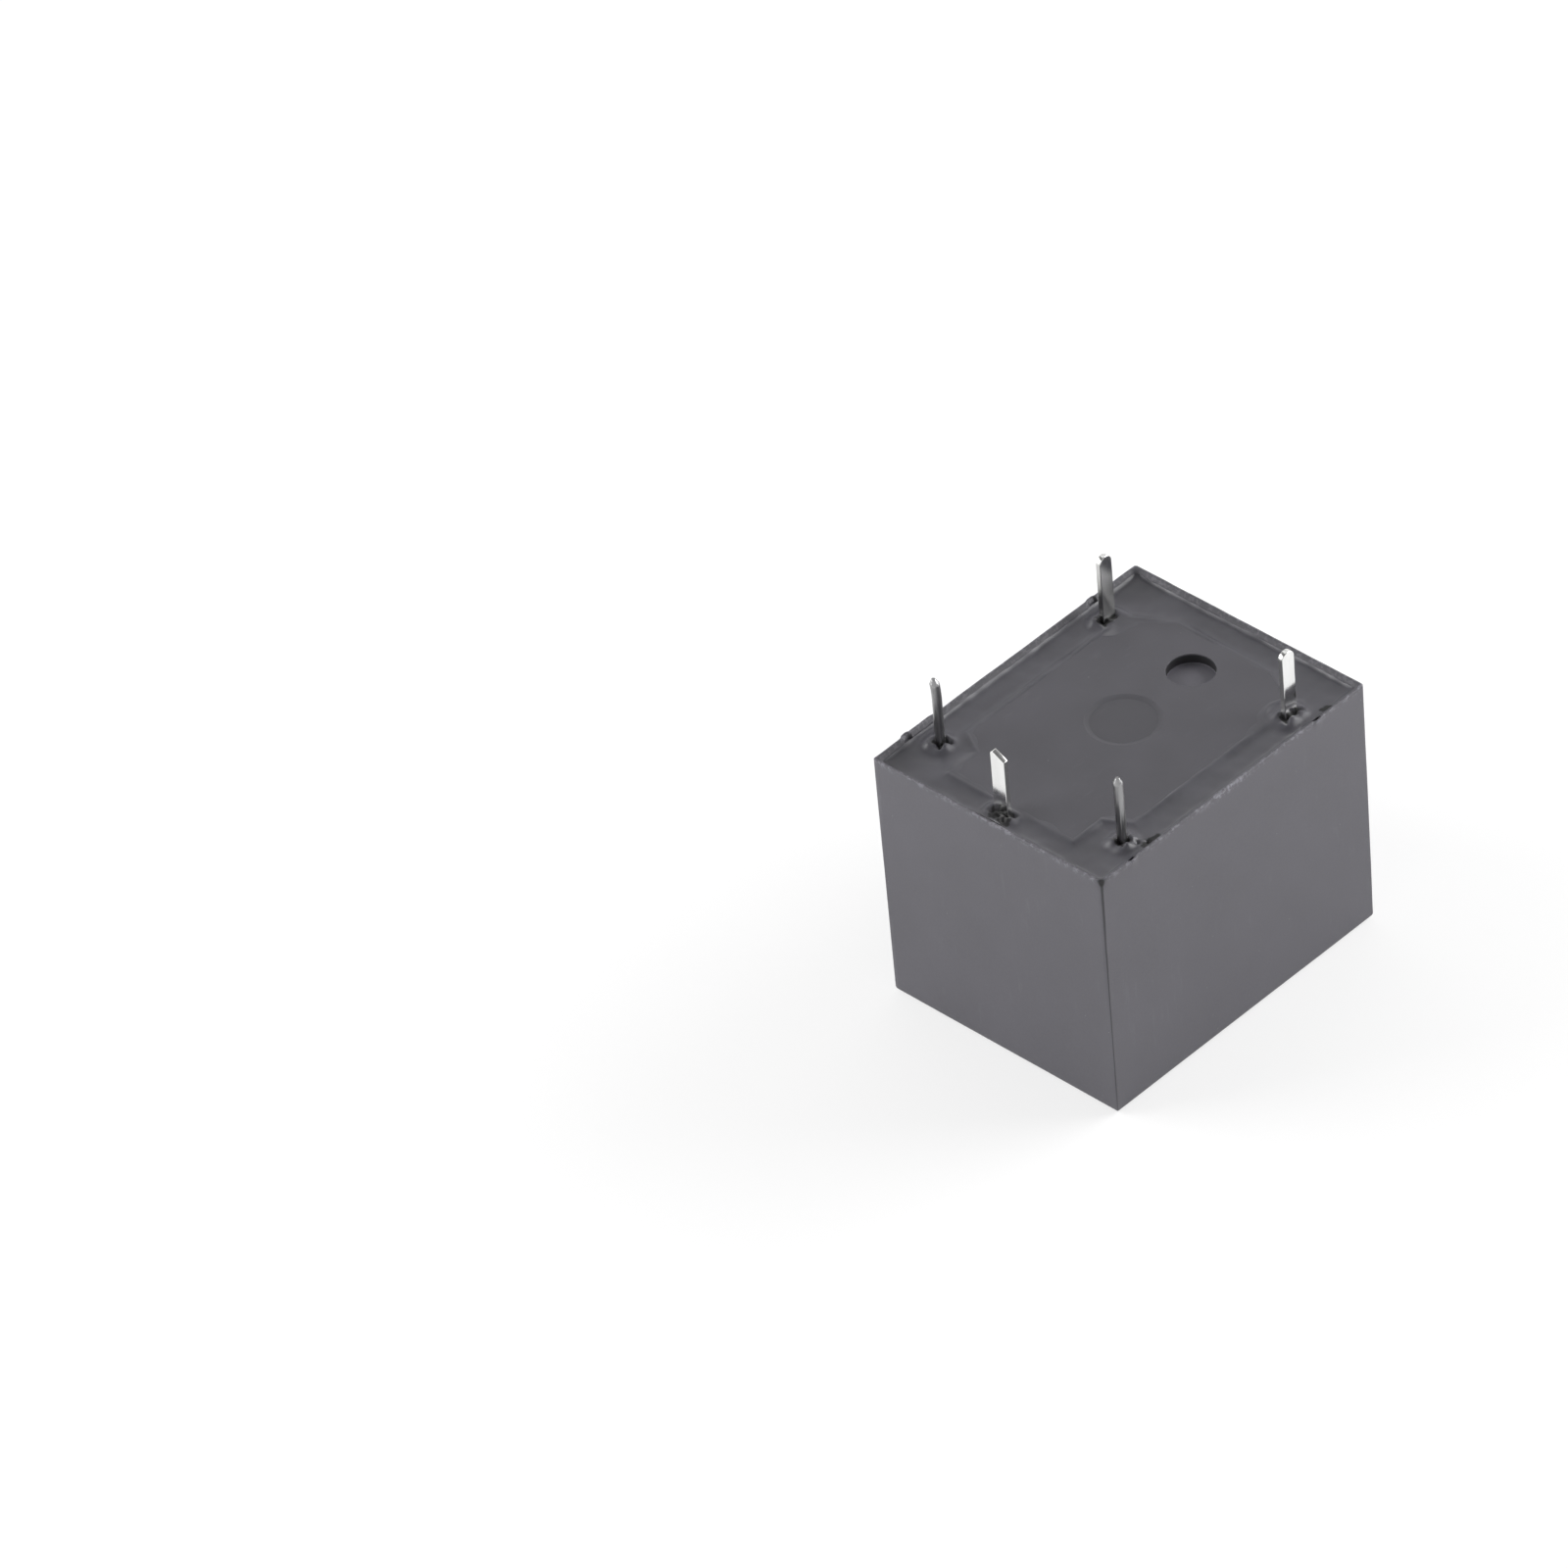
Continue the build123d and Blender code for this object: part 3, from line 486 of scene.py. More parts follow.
def outline_distance(x, y, corners):
    """Distance from a closed outline, negative inside it."""
    nearest = np.full(x.shape, 1e9)
    inside = np.zeros(x.shape, bool)
    for (ax, ay), (bx, by) in zip(corners, corners[1:] + corners[:1]):
        ex, ey = bx - ax, by - ay
        t = np.clip(((x - ax) * ex + (y - ay) * ey) / (ex * ex + ey * ey), 0, 1)
        nearest = np.minimum(nearest, np.hypot(x - ax - t * ex, y - ay - t * ey))
        crossed = (ay > y) != (by > y)
        with np.errstate(divide="ignore", invalid="ignore"):
            at = ax + (y - ay) * ex / (ey if ey else 1e-12)
        inside ^= crossed & (x < at)
    return np.where(inside, -nearest, nearest)


def island_distance(x, y, p, pockets=(POCKET_Y, -POCKET_Y)):
    """Distance from the island's edge, negative over the island."""
    start, end, side = p.island_start / MM, p.island_end / MM, p.island_side / MM
    upper = [
        (start, NECK_SIDE), (NECK_END, NECK_SIDE), (SHOULDER_START, side), (CUT_START, side), (end, CUT_SIDE),
    ]
    corners = upper + [(a, -b) for a, b in reversed(upper)]
    distance = outline_distance(x, y, corners)
    for pocket in pockets:
        distance = np.maximum(distance, POCKET_RADIUS - np.hypot(x - POCKET_X, y - pocket))
    return distance


def potting_surface(x, y, p):
    """The compound's height, with the +Y pocket filled up."""
    half_x, half_y = seal_high.x / MM, seal_high.y / MM
    z = RIM - p.drop / MM
    for height, length, seed in LEVEL_RIPPLES:
        z = z + height * ripple(x, y, length, seed)
    for rise, reach, shift in ((p.steep_rise, p.steep_reach, 0), (p.slow_rise, p.slow_reach, 10)):
        free = np.ones_like(x)
        for gap, seed in ((half_x - x, 21), (half_x + x, 22), (half_y - y, 23), (half_y + y, 24)):
            uneven = 1 + 0.18 * ripple(x, y, 2.6, seed + shift)
            free = free * (1 - np.exp(-np.maximum(gap, 0) / (reach / MM * uneven)))
        z = z + rise / MM * (1 - free)
    for px, py, wide, deep in PIN_SECTIONS:
        gap = np.hypot(np.maximum(np.abs(x - px) - wide, 0), np.maximum(np.abs(y - py) - deep, 0))
        turn = np.arctan2(y - py, x - px)
        lobes = 1 + 0.12 * np.cos(3 * turn + 2 * px)
        z = z + p.collar_rise / MM * lobes * np.exp(-((gap / (p.collar_reach / MM)) ** 2.6))
        ragged = 1 + 0.35 * np.sin(4 * turn + 3 * py) + 0.2 * ripple(x, y, 0.4, 61)
        z = z - p.crevice / MM * np.exp(-((gap / (p.crevice_reach / MM * ragged)) ** 2))
    for px, py, reach, deep in PITS:
        z = z - deep * hill(x, y, px, py, reach)
    film = RIM - p.island_drop / MM + 0.004 + 0.003 * ripple(x, y, 0.9, 31)
    filled = island_distance(x, y, p, (-POCKET_Y,))
    near = np.exp(-((np.maximum(filled, 0) / 0.38) ** 1.6))
    z = z + (film - z) * near
    bead = np.clip(0.45 + 0.8 * ripple(x, y, 2.6, 51), 0, 1)
    z = z + 0.035 * bead * np.exp(-(((filled - 0.04) / 0.1) ** 2))
    creep = p.creep / MM * (1 + 0.9 * ripple(x, y, 1.5, 41))
    for cx, cy, reach, amount in CREEP_PLACES:
        creep = creep + amount * hill(x, y, cx, cy, reach)
    creep = np.clip(creep, 0.0, MOST_CREEP)
    return z - 0.25 * np.maximum(-island_distance(x, y, p) - creep, 0)


def potting_piece(p):
    """The compound as one closed solid with a fine, uneven surface."""
    spacing = p.spacing / MM
    half_x, half_y = seal_high.x / MM + 0.01, seal_high.y / MM + 0.01
    columns, rows = int(2 * half_x / spacing) + 1, int(2 * half_y / spacing) + 1
    x, y = np.meshgrid(
        np.linspace(-half_x, half_x, columns), np.linspace(-half_y, half_y, rows), indexing="ij",
    )
    z = potting_surface(x, y, p)
    mid_x = (x[:-1, :-1] + x[1:, 1:]) / 2
    mid_y = (y[:-1, :-1] + y[1:, 1:]) / 2
    kept = island_distance(mid_x, mid_y, p) > -UNDER_ISLAND
    for px, py, wide, deep in PIN_SECTIONS:
        kept &= ~((np.abs(mid_x - px) < wide - PIN_OVERLAP) & (np.abs(mid_y - py) < deep - PIN_OVERLAP))
    number = np.arange(columns * rows).reshape(columns, rows)
    corners = (number[:-1, :-1], number[1:, :-1], number[1:, 1:], number[:-1, 1:])
    quads = np.column_stack([corner[kept] for corner in corners])
    bottom = seal_low.z / MM + 0.02
    upper = np.column_stack((x.ravel(), y.ravel(), z.ravel()))
    lower = np.column_stack((x.ravel(), y.ravel(), np.full(x.size, bottom)))
    under = quads[:, ::-1] + len(upper)
    sides = {}
    for face in quads:
        for i in range(4):
            sides[(int(face[i]), int(face[(i + 1) % 4]))] = True
    walls = [(j, i, i + len(upper), j + len(upper)) for i, j in sides if (j, i) not in sides]
    used = np.unique(np.concatenate((quads.ravel(), under.ravel())))
    renumber = np.full(2 * len(upper), -1)
    renumber[used] = np.arange(len(used))
    points = np.concatenate((upper, lower))[used] * MM
    faces = [renumber[list(face)].tolist() for face in (*quads, *under, *walls)]
    made = mesh_piece("potting_compound", points, faces)
    smooth_shaded(made, 60)
    return made


# Winding

RING_BORE, RING_SOFT = 2.86 * MM, 0.12 * MM
WIRE_SUNK = 0.72  # of the wire, that the ring below starts under the winding's outside
TURN_PITCH = 1.02  # wires from one turn to the next


def winding_tree():
    """A tree that lays a helix of wire round a ring and joins both."""
    tree = bpy.data.node_groups.new("wound_coil", "GeometryNodeTree")
    face = tree.interface
    for name, kind in (
        ("Geometry", "Geometry"), ("Wire diameter", "Float"), ("Coil radius", "Float"), ("Length", "Float"),
        ("Turns", "Float"), ("Points per turn", "Int"), ("Place", "Vector"), ("Finish", "Material"),
    ):
        face.new_socket(name, in_out="INPUT", socket_type="NodeSocket" + kind)
    face.new_socket("Geometry", in_out="OUTPUT", socket_type="NodeSocketGeometry")
    given = place(tree, "NodeGroupInput").outputs
    half_wire = calculate(tree, "MULTIPLY", given["Wire diameter"], 0.5)
    radius = calculate(tree, "SUBTRACT", given["Coil radius"], half_wire)
    helix = place(tree, "GeometryNodeCurveSpiral", {
        "Resolution": given["Points per turn"], "Rotations": given["Turns"],
        "Start Radius": radius, "End Radius": radius, "Height": given["Length"],
    })
    section = place(tree, "GeometryNodeCurvePrimitiveCircle", {"Resolution": 8, "Radius": half_wire})
    wire = place(tree, "GeometryNodeCurveToMesh", {
        "Curve": helix.outputs[0], "Profile Curve": section.outputs[0], "Fill Caps": True,
    })
    placed = place(tree, "GeometryNodeTransform", {
        "Geometry": wire.outputs[0], "Translation": given["Place"],
    })
    joined = place(tree, "GeometryNodeJoinGeometry")
    tree.links.new(given["Geometry"], joined.inputs[0])
    tree.links.new(placed.outputs[0], joined.inputs[0])
    smooth = place(tree, "GeometryNodeSetShadeSmooth", {"Geometry": joined.outputs[0]})
    real = place(tree, "GeometryNodeRealizeInstances", {"Geometry": smooth.outputs[0]})
    painted = place(tree, "GeometryNodeSetMaterial", {
        "Geometry": real.outputs[0], "Material": given["Finish"],
    })
    leave = place(tree, "NodeGroupOutput")
    tree.links.new(painted.outputs[0], leave.inputs[0])
    return tree


def ring(name, inner, outer, low, high, centre_x, around=96):
    """A closed ring with softened outer edges, standing upright."""
    soft = RING_SOFT
    section = (
        (inner, low), (outer - soft, low), (outer, low + soft),
        (outer, high - soft), (outer - soft, high), (inner, high),
    )
    points, faces = [], []
    for i in range(around):
        a = 2 * math.pi * i / around
        for radius, z in section:
            points.append((centre_x + radius * math.cos(a), radius * math.sin(a), z))
    n = len(section)
    for i in range(around):
        j = (i + 1) % around
        for k in range(n):
            m = (k + 1) % n
            faces.append((i * n + k, j * n + k, j * n + m, i * n + m))
    return mesh_piece(name, points, faces)


def winding_piece(p, finish):
    """The winding: its outer layer as one helix over the layers below."""
    low, high = winding_low.z, winding_high.z
    centre_x = (winding_low.x + winding_high.x) / 2
    radius = winding_high.y
    made = ring("wound_coil", RING_BORE, radius - WIRE_SUNK * p.wire, low, high, centre_x)
    tree = winding_tree()
    wind = made.modifiers.new("turns", "NODES")
    wind.node_group = tree
    length = high - low - p.wire
    values = {
        "Wire diameter": p.wire, "Coil radius": radius, "Length": length,
        "Turns": length / (TURN_PITCH * p.wire), "Points per turn": p.turn_sides,
        "Place": (centre_x, 0, low + p.wire / 2), "Finish": finish,
    }
    for item in tree.interface.items_tree:
        if item.in_out == "INPUT" and item.name in values:
            wind[item.identifier] = values[item.name]
    plain_mesh(made)
    return made


# Materials, on the pieces' own coordinates in millimetres

SCUFF_PLACE = (-0.4, -7.5, 14.95)
CHIP_PLACE = (-9.6, -7.55, 14.93)
SHADED_CORNER = (9.0, 7.0, 14.6)
DISC_PLACE = (0.5, 0.15, 14.65)
DIMPLE_PLACE = (5.4, 0.1, 14.4)
RIM_EDGE = 0.1
DUST, COVER_DUST = (0.3, 0.3, 0.31), (0.32, 0.32, 0.33)


def place(tree, kind, inputs=None, **settings):
    """Adds a node, sets it up, and links or fills its inputs."""
    made = tree.nodes.new(kind)
    made.location = (210 * (len(tree.nodes) % 10), -280 * (len(tree.nodes) // 10))
    for key, value in settings.items():
        setattr(made, key, value)
    for key, value in (inputs or {}).items():
        if isinstance(value, bpy.types.NodeSocket):
            tree.links.new(value, made.inputs[key])
        else:
            made.inputs[key].default_value = value
    return made


def calculate(tree, operation, *values):
    """A maths node's result."""
    return place(tree, "ShaderNodeMath", dict(enumerate(values)), operation=operation).outputs[0]


def vectors(tree, operation, *values):
    """A vector maths node's result: a number for a distance, a length or a dot product."""
    made = place(tree, "ShaderNodeVectorMath", dict(enumerate(values)), operation=operation)
    return made.outputs["Value" if operation in ("DISTANCE", "LENGTH", "DOT_PRODUCT") else "Vector"]


def ranged(tree, value, start, end, to_start=0.0, to_end=1.0):
    """A value carried softly from one range to another, and held at its ends."""
    return place(tree, "ShaderNodeMapRange", {
        "Value": value, "From Min": start, "From Max": end, "To Min": to_start, "To Max": to_end,
    }, interpolation_type="SMOOTHSTEP").outputs["Result"]


def mixed(tree, amount, first, second):
    """Two colours mixed by an amount."""
    return place(tree, "ShaderNodeMix", {0: amount, 6: first, 7: second}, data_type="RGBA").outputs[2]


def noise(tree, vector, per_mm, detail=3.0, roughness=0.55):
    """Noise with a number of features per millimetre."""
    return place(tree, "ShaderNodeTexNoise", {
        "Vector": vector, "Scale": per_mm, "Detail": detail, "Roughness": roughness,
    }).outputs[0]


def colour(values, factor=1.0):
    """A colour socket's value from three numbers."""
    return (values[0] * factor, values[1] * factor, values[2] * factor, 1.0)


def new_group(name, inputs, outputs):
    """An empty shader group with its sockets."""
    group = bpy.data.node_groups.new(name, "ShaderNodeTree")
    for socket, value in {"Vector": (0, 0, 0), **inputs}.items():
        kind = "NodeSocketVector" if isinstance(value, tuple) else "NodeSocketFloat"
        group.interface.new_socket(socket, in_out="INPUT", socket_type=kind).default_value = value
    for socket in outputs:
        group.interface.new_socket(socket, in_out="OUTPUT", socket_type="NodeSocketFloat")
    return group


def spark_texture():
    """The fine grain and cloudy tone of a spark-cut mould."""
    group = new_group("spark_texture", {"Grain per mm": 9.0, "Cloud per mm": 0.4}, ["Height", "Cloud"])
    given = place(group, "NodeGroupInput").outputs
    fine = noise(group, given["Vector"], given["Grain per mm"], 4.0, 0.62)
    pits = place(group, "ShaderNodeTexVoronoi", {
        "Vector": given["Vector"], "Scale": calculate(group, "MULTIPLY", given["Grain per mm"], 0.9),
    }, feature="SMOOTH_F1").outputs["Distance"]
    height = calculate(group, "MULTIPLY_ADD", pits, 0.5, fine)
    cloud = ranged(group, noise(group, given["Vector"], given["Cloud per mm"], 5.0, 0.6), 0.34, 0.68)
    place(group, "NodeGroupOutput", {"Height": height, "Cloud": cloud})
    return group


def handling_marks():
    """Faint rubs and a few specks of dust."""
    group = new_group("handling_marks", {"Direction": (0.25, 2.4, 1.2)}, ["Rubs", "Dust"])
    given = place(group, "NodeGroupInput").outputs
    drawn = vectors(group, "MULTIPLY", given["Vector"], given["Direction"])
    streak = ranged(group, noise(group, drawn, 1.6, 4.0, 0.7), 0.56, 0.72)
    patch = ranged(group, noise(group, given["Vector"], 0.22, 2.0), 0.48, 0.66)
    speck = place(group, "ShaderNodeTexVoronoi", {"Vector": given["Vector"], "Scale": 1.7, "Randomness": 1.0})
    dot = ranged(group, speck.outputs["Distance"], 0.055, 0.035)
    sparse = ranged(group, noise(group, given["Vector"], 0.9, 1.0), 0.55, 0.62)
    rubs, dust = calculate(group, "MULTIPLY", streak, patch), calculate(group, "MULTIPLY", dot, sparse)
    place(group, "NodeGroupOutput", {"Rubs": rubs, "Dust": dust})
    return group


def drawn_streaks():
    """Fine lines left by rolling and drawing."""
    group = new_group("drawn_streaks", {"Stretch": (1, 1, 0.06)}, ["Height", "Tone"])
    given = place(group, "NodeGroupInput").outputs
    drawn = vectors(group, "MULTIPLY", given["Vector"], given["Stretch"])
    lines = noise(group, drawn, 14.0, 3.0, 0.6)
    broad = noise(group, drawn, 2.2, 3.0, 0.5)
    place(group, "NodeGroupOutput", {"Height": lines, "Tone": ranged(group, broad, 0.3, 0.7)})
    return group


SHARED_GROUPS = {
    "spark_texture": spark_texture, "handling_marks": handling_marks, "drawn_streaks": drawn_streaks,
}


class Finish:
    """A new material with its shader, its base colour so far, coordinates and shared groups."""

    def __init__(self, name, **fixed):
        self.material = bpy.data.materials.new(name)
        self.material.use_nodes = True
        self.tree = self.material.node_tree
        self.shader = next(n for n in self.tree.nodes if n.type == "BSDF_PRINCIPLED")
        self.source = place(self.tree, "ShaderNodeTexCoord").outputs
        self.vector = place(self.tree, "ShaderNodeMapping", {
            "Vector": self.source["Object"], "Scale": (1000, 1000, 1000),
        }).outputs[0]
        self.base = None
        for socket, value in fixed.items():
            self.shader.inputs[socket.replace("_", " ")].default_value = value

    def group(self, name, **values):
        """One of the shared groups, placed with this finish's own values."""
        shared = bpy.data.node_groups.get(name) or SHARED_GROUPS[name]()
        made = place(self.tree, "ShaderNodeGroup", {"Vector": self.vector}, node_tree=shared)
        for socket, value in values.items():
            made.inputs[socket.replace("_", " ")].default_value = value
        return made.outputs

    def along(self, axis):
        """One of the coordinates."""
        return place(self.tree, "ShaderNodeSeparateXYZ", {0: self.vector}).outputs[axis]

    def below_rim(self, start, end):
        """A mask that grows from one depth below the rim to another."""
        return self.mask(self.along("Z"), RIM - start, RIM - end)

    def from_place(self, point):
        """Distance from a place."""
        return vectors(self.tree, "DISTANCE", self.vector, point)

    def noise(self, *values):
        """Noise over the piece."""
        return noise(self.tree, self.vector, *values)

    def mask(self, *values):
        """A value carried softly from one range to another."""
        return ranged(self.tree, *values)

    def times(self, first, second):
        """Two values multiplied."""
        return calculate(self.tree, "MULTIPLY", first, second)

    def added(self, value, factor, base):
        """A value times a factor, added to a base."""
        return calculate(self.tree, "MULTIPLY_ADD", value, factor, base)

    def between(self, amount, first, second):
        """Starts the base colour between two shades."""
        self.base = mixed(self.tree, amount, first, second)

    def lay(self, mask, shade, most=None):
        """Lays a shade over the base colour through a mask, up to a share of it."""
        if most is not None:
            mask = self.times(mask, most)
        self.base = mixed(self.tree, mask, self.base, shade)

    def feed(self, socket, value):
        """Links a value to one of the shader's sockets."""
        self.tree.links.new(value, self.shader.inputs[socket])

    def done(self, rough, height, strength, depth_mm):
        """Feeds the base colour, a roughness and a bump of a depth in millimetres to the shader."""
        bump = place(self.tree, "ShaderNodeBump", {
            "Height": height, "Strength": strength, "Distance": depth_mm * MM,
        })
        self.feed("Base Color", self.base)
        self.feed("Roughness", rough)
        self.feed("Normal", bump.outputs[0])
        return self.material


def inner_mouth(f):
    """One inside the rim's thin outer edge, nothing beyond it."""
    away = vectors(f.tree, "ABSOLUTE", f.vector)
    edge = tuple(half / MM - RIM_EDGE for half in (cover_high.x, cover_high.y))
    past = vectors(f.tree, "SUBTRACT", away, (*edge, 100))
    past = place(f.tree, "ShaderNodeSeparateXYZ", {0: past}).outputs
    return f.mask(calculate(f.tree, "MAXIMUM", past["X"], past["Y"]), 0.0, -0.03)


def cover_plastic(p):
    """Satin dark grey moulded plastic, grainy and lighter at the rim, partly a painted highlight, with a
    scuff, a near-black chip and painted shade on the upright corners.
    """
    f = Finish("cover_plastic")
    grain = f.group("spark_texture", Grain_per_mm=8.0, Cloud_per_mm=0.28)
    marks = f.group("handling_marks", Direction=(1.4, 1.4, 0.22))
    f.between(grain["Cloud"], colour(p.plastic, 0.94), colour(p.plastic, 1.05))
    worn = f.times(f.below_rim(0.1, 0), f.mask(f.noise(2.0), 0.35, 0.7, 0.2, 0.8))
    f.lay(worn, colour(p.plastic))
    # Lighter grainy speckle round the top of the cover: partly grain, partly a painted highlight along the
    # rim.
    rim_speckle_and_highlight = f.times(f.mask(f.noise(3.8, 2.0, 0.75), 0.5, 0.6), f.below_rim(0.4, 0.02))
    f.lay(rim_speckle_and_highlight, colour(p.plastic, 2.1), 0.8)
    f.lay(marks["Rubs"], colour(p.plastic, 1.35), 0.3)
    f.lay(marks["Dust"], colour(COVER_DUST), 0.5)
    grit = f.mask(f.noise(11.0, 2.0, 0.7), 0.3, 0.7)
    f.lay(grit, colour(p.plastic, 1.5), 0.16)
    scuff = f.times(f.mask(f.from_place(SCUFF_PLACE), 2.6, 0.6), f.below_rim(0.55, 0.1))
    scuff = f.times(scuff, f.mask(f.noise(5.0, 3.0, 0.7), 0.5, 0.62))
    f.lay(scuff, colour(p.plastic, 2.6), 0.9)
    f.lay(f.mask(f.from_place(CHIP_PLACE), 0.34, 0.2), colour(p.plastic, 0.05))
    mouth = f.times(inner_mouth(f), f.below_rim(0.4, 0.25))
    f.lay(mouth, colour(p.plastic, 0.4), 0.42)
    # Painted shade on the rounded upright corners, found by how far their normals turn between x and y.
    turned = place(f.tree, "ShaderNodeSeparateXYZ", {0: f.source["Normal"]}).outputs
    corner = calculate(f.tree, "ABSOLUTE", f.times(turned["X"], turned["Y"]))
    f.lay(f.mask(corner, 0.18, 0.42, 0.0, 0.6), colour(p.plastic, 0.15))
    rough = f.added(mouth, 0.18, f.mask(grain["Cloud"], 0, 1, 0.42, 0.48))
    return f.done(f.added(marks["Rubs"], -0.06, rough), grain["Height"], 0.35, 0.006)


def base_plastic(p):
    """Matte dark grey moulded plastic, darker in the gate disc, with painted light on the dimple's floor and
    painted shade on its wall.
    """
    f = Finish("base_plastic")
    grain = f.group("spark_texture", Grain_per_mm=7.0, Cloud_per_mm=0.35)
    marks = f.group("handling_marks", Direction=(0.5, 2.0, 1.0))
    f.between(grain["Cloud"], colour(p.plastic, 0.78), colour(p.plastic, 0.89))
    f.lay(f.mask(f.from_place(DISC_PLACE), 2.05, 1.7), colour(p.plastic, 0.7), 0.85)
    # Painted light over the dimple's floor, and painted shade, near black, on its wall.
    dimple = f.times(f.mask(f.from_place(DIMPLE_PLACE), 1.45, 1.4), f.below_rim(0.33, 0.4))
    wall = f.times(dimple, f.below_rim(0.88, 0.8))
    f.lay(dimple, colour(p.plastic, 1.5))
    f.lay(wall, colour(p.plastic, 0.16))
    f.lay(marks["Rubs"], colour(p.plastic, 1.3), 0.25)
    f.lay(marks["Dust"], colour(DUST), 0.5)
    return f.done(f.mask(grain["Cloud"], 0, 1, 0.55, 0.63), grain["Height"], 0.4, 0.008)


def beside_pins(f):
    """Distance in plan from the nearest pin or near-black patch."""
    nearest = None
    for px, py, wide, deep in (*PIN_SECTIONS, *DARK_PATCHES):
        away = vectors(f.tree, "SUBTRACT", f.vector, (px, py, 0))
        away = vectors(f.tree, "ABSOLUTE", vectors(f.tree, "MULTIPLY", away, (1, 1, 0)))
        away = vectors(f.tree, "SUBTRACT", away, (wide, deep, 0))
        gap = vectors(f.tree, "LENGTH", vectors(f.tree, "MAXIMUM", away, (0, 0, 0)))
        nearest = calculate(f.tree, "MINIMUM", nearest, gap) if nearest else gap
    return nearest


def potting_resin(p):
    """Glossy set resin with painted shade in the two +Y corners, a little dusty, near black round the pins."""
    f = Finish("potting_resin", IOR=1.52)
    grain = f.group("spark_texture", Grain_per_mm=2.2, Cloud_per_mm=0.5)
    marks = f.group("handling_marks", Direction=(1.0, 1.0, 1.0))
    f.between(grain["Cloud"], colour(p.resin, 0.88), colour(p.resin, 1.1))
    # Painted shade in the compound's two +Y corners, mirrored across x.
    mirrored = vectors(f.tree, "MULTIPLY", f.vector, (-1, 1, 1))
    folded = vectors(f.tree, "MAXIMUM", f.vector, mirrored)
    away = vectors(f.tree, "DISTANCE", folded, SHADED_CORNER)
    f.lay(f.mask(away, 2.6, 0.6), colour(p.resin, 0.55), 0.75)
    f.lay(marks["Dust"], colour(DUST), 0.6)
    # Near-black ragged patches round the pins and at the listed patches beside them.
    uneven = f.added(f.noise(3.0, 1.5, 0.6), 0.44, -0.24)
    near_black = f.mask(calculate(f.tree, "ADD", beside_pins(f), uneven), 0.22, 0.08)
    f.lay(near_black, colour(p.resin, 0.05))
    rough = f.added(near_black, 0.25, f.mask(grain["Cloud"], 0, 1, 0.30, 0.40))
    return f.done(rough, grain["Height"], 0.25, 0.008)


def tinned_blade(p, name, sheared_axis):
    """Bright tin on the rolled faces, dull on the sheared edges, with painted shade low on the +Y blade."""
    f = Finish(name)
    f.feed("Metallic", f.mask(f.noise(0.4, 1.0), 0.0, 0.05, 0.9, 1.0))
    streaks = f.group("drawn_streaks", Stretch=(1.0, 1.0, 0.08))
    marks = f.group("handling_marks", Direction=(2.0, 2.0, 0.5))
    turned = vectors(f.tree, "DOT_PRODUCT", f.source["Normal"], sheared_axis)
    edge = f.mask(calculate(f.tree, "ABSOLUTE", turned), 0.55, 0.85)
    f.between(streaks["Tone"], colour(p.tin, 0.9), colour(p.tin))
    f.lay(marks["Rubs"], colour(p.tin, 0.6), 0.3)
    f.lay(edge, colour(p.sheared))
    # Painted shade on the lower part of the +Y blade, standing for a darker reflection.
    low_blade_painted_shade = f.times(f.mask(f.along("Y"), 1, 2), f.mask(f.along("Z"), 18.2, 16.2))
    f.lay(low_blade_painted_shade, colour(p.sheared, 0.35), 0.8)
    rough = f.added(edge, 0.08, f.mask(streaks["Tone"], 0, 1, 0.09, 0.16))
    return f.done(rough, streaks["Height"], 0.25, 0.004)


def metal(name, shade, rough, stretch, depth=0.004, coat=0.0):
    """A plain drawn or plated metal with streaks and rubs."""
    f = Finish(name, Coat_Weight=coat)
    streaks = f.group("drawn_streaks", Stretch=stretch)
    marks = f.group("handling_marks", Direction=(1.0, 1.0, 1.0))
    f.feed("Metallic", f.mask(marks["Rubs"], 0, 1, 1.0, 0.92))
    f.between(streaks["Tone"], colour(shade, 0.86), colour(shade, 1.06))
    f.lay(marks["Rubs"], colour(shade, 0.7), 0.3)
    return f.done(f.mask(streaks["Tone"], 0, 1, rough, rough + 0.1), streaks["Height"], 0.3, depth)


def bobbin_plastic():
    """Black moulded plastic of the coil former."""
    f = Finish("bobbin_plastic")
    grain = f.group("spark_texture", Grain_per_mm=6.0, Cloud_per_mm=0.5)
    f.between(grain["Cloud"], colour((0.018, 0.018, 0.02)), colour((0.032, 0.032, 0.035)))
    return f.done(f.mask(grain["Cloud"], 0, 1, 0.38, 0.5), grain["Height"], 0.3, 0.006)


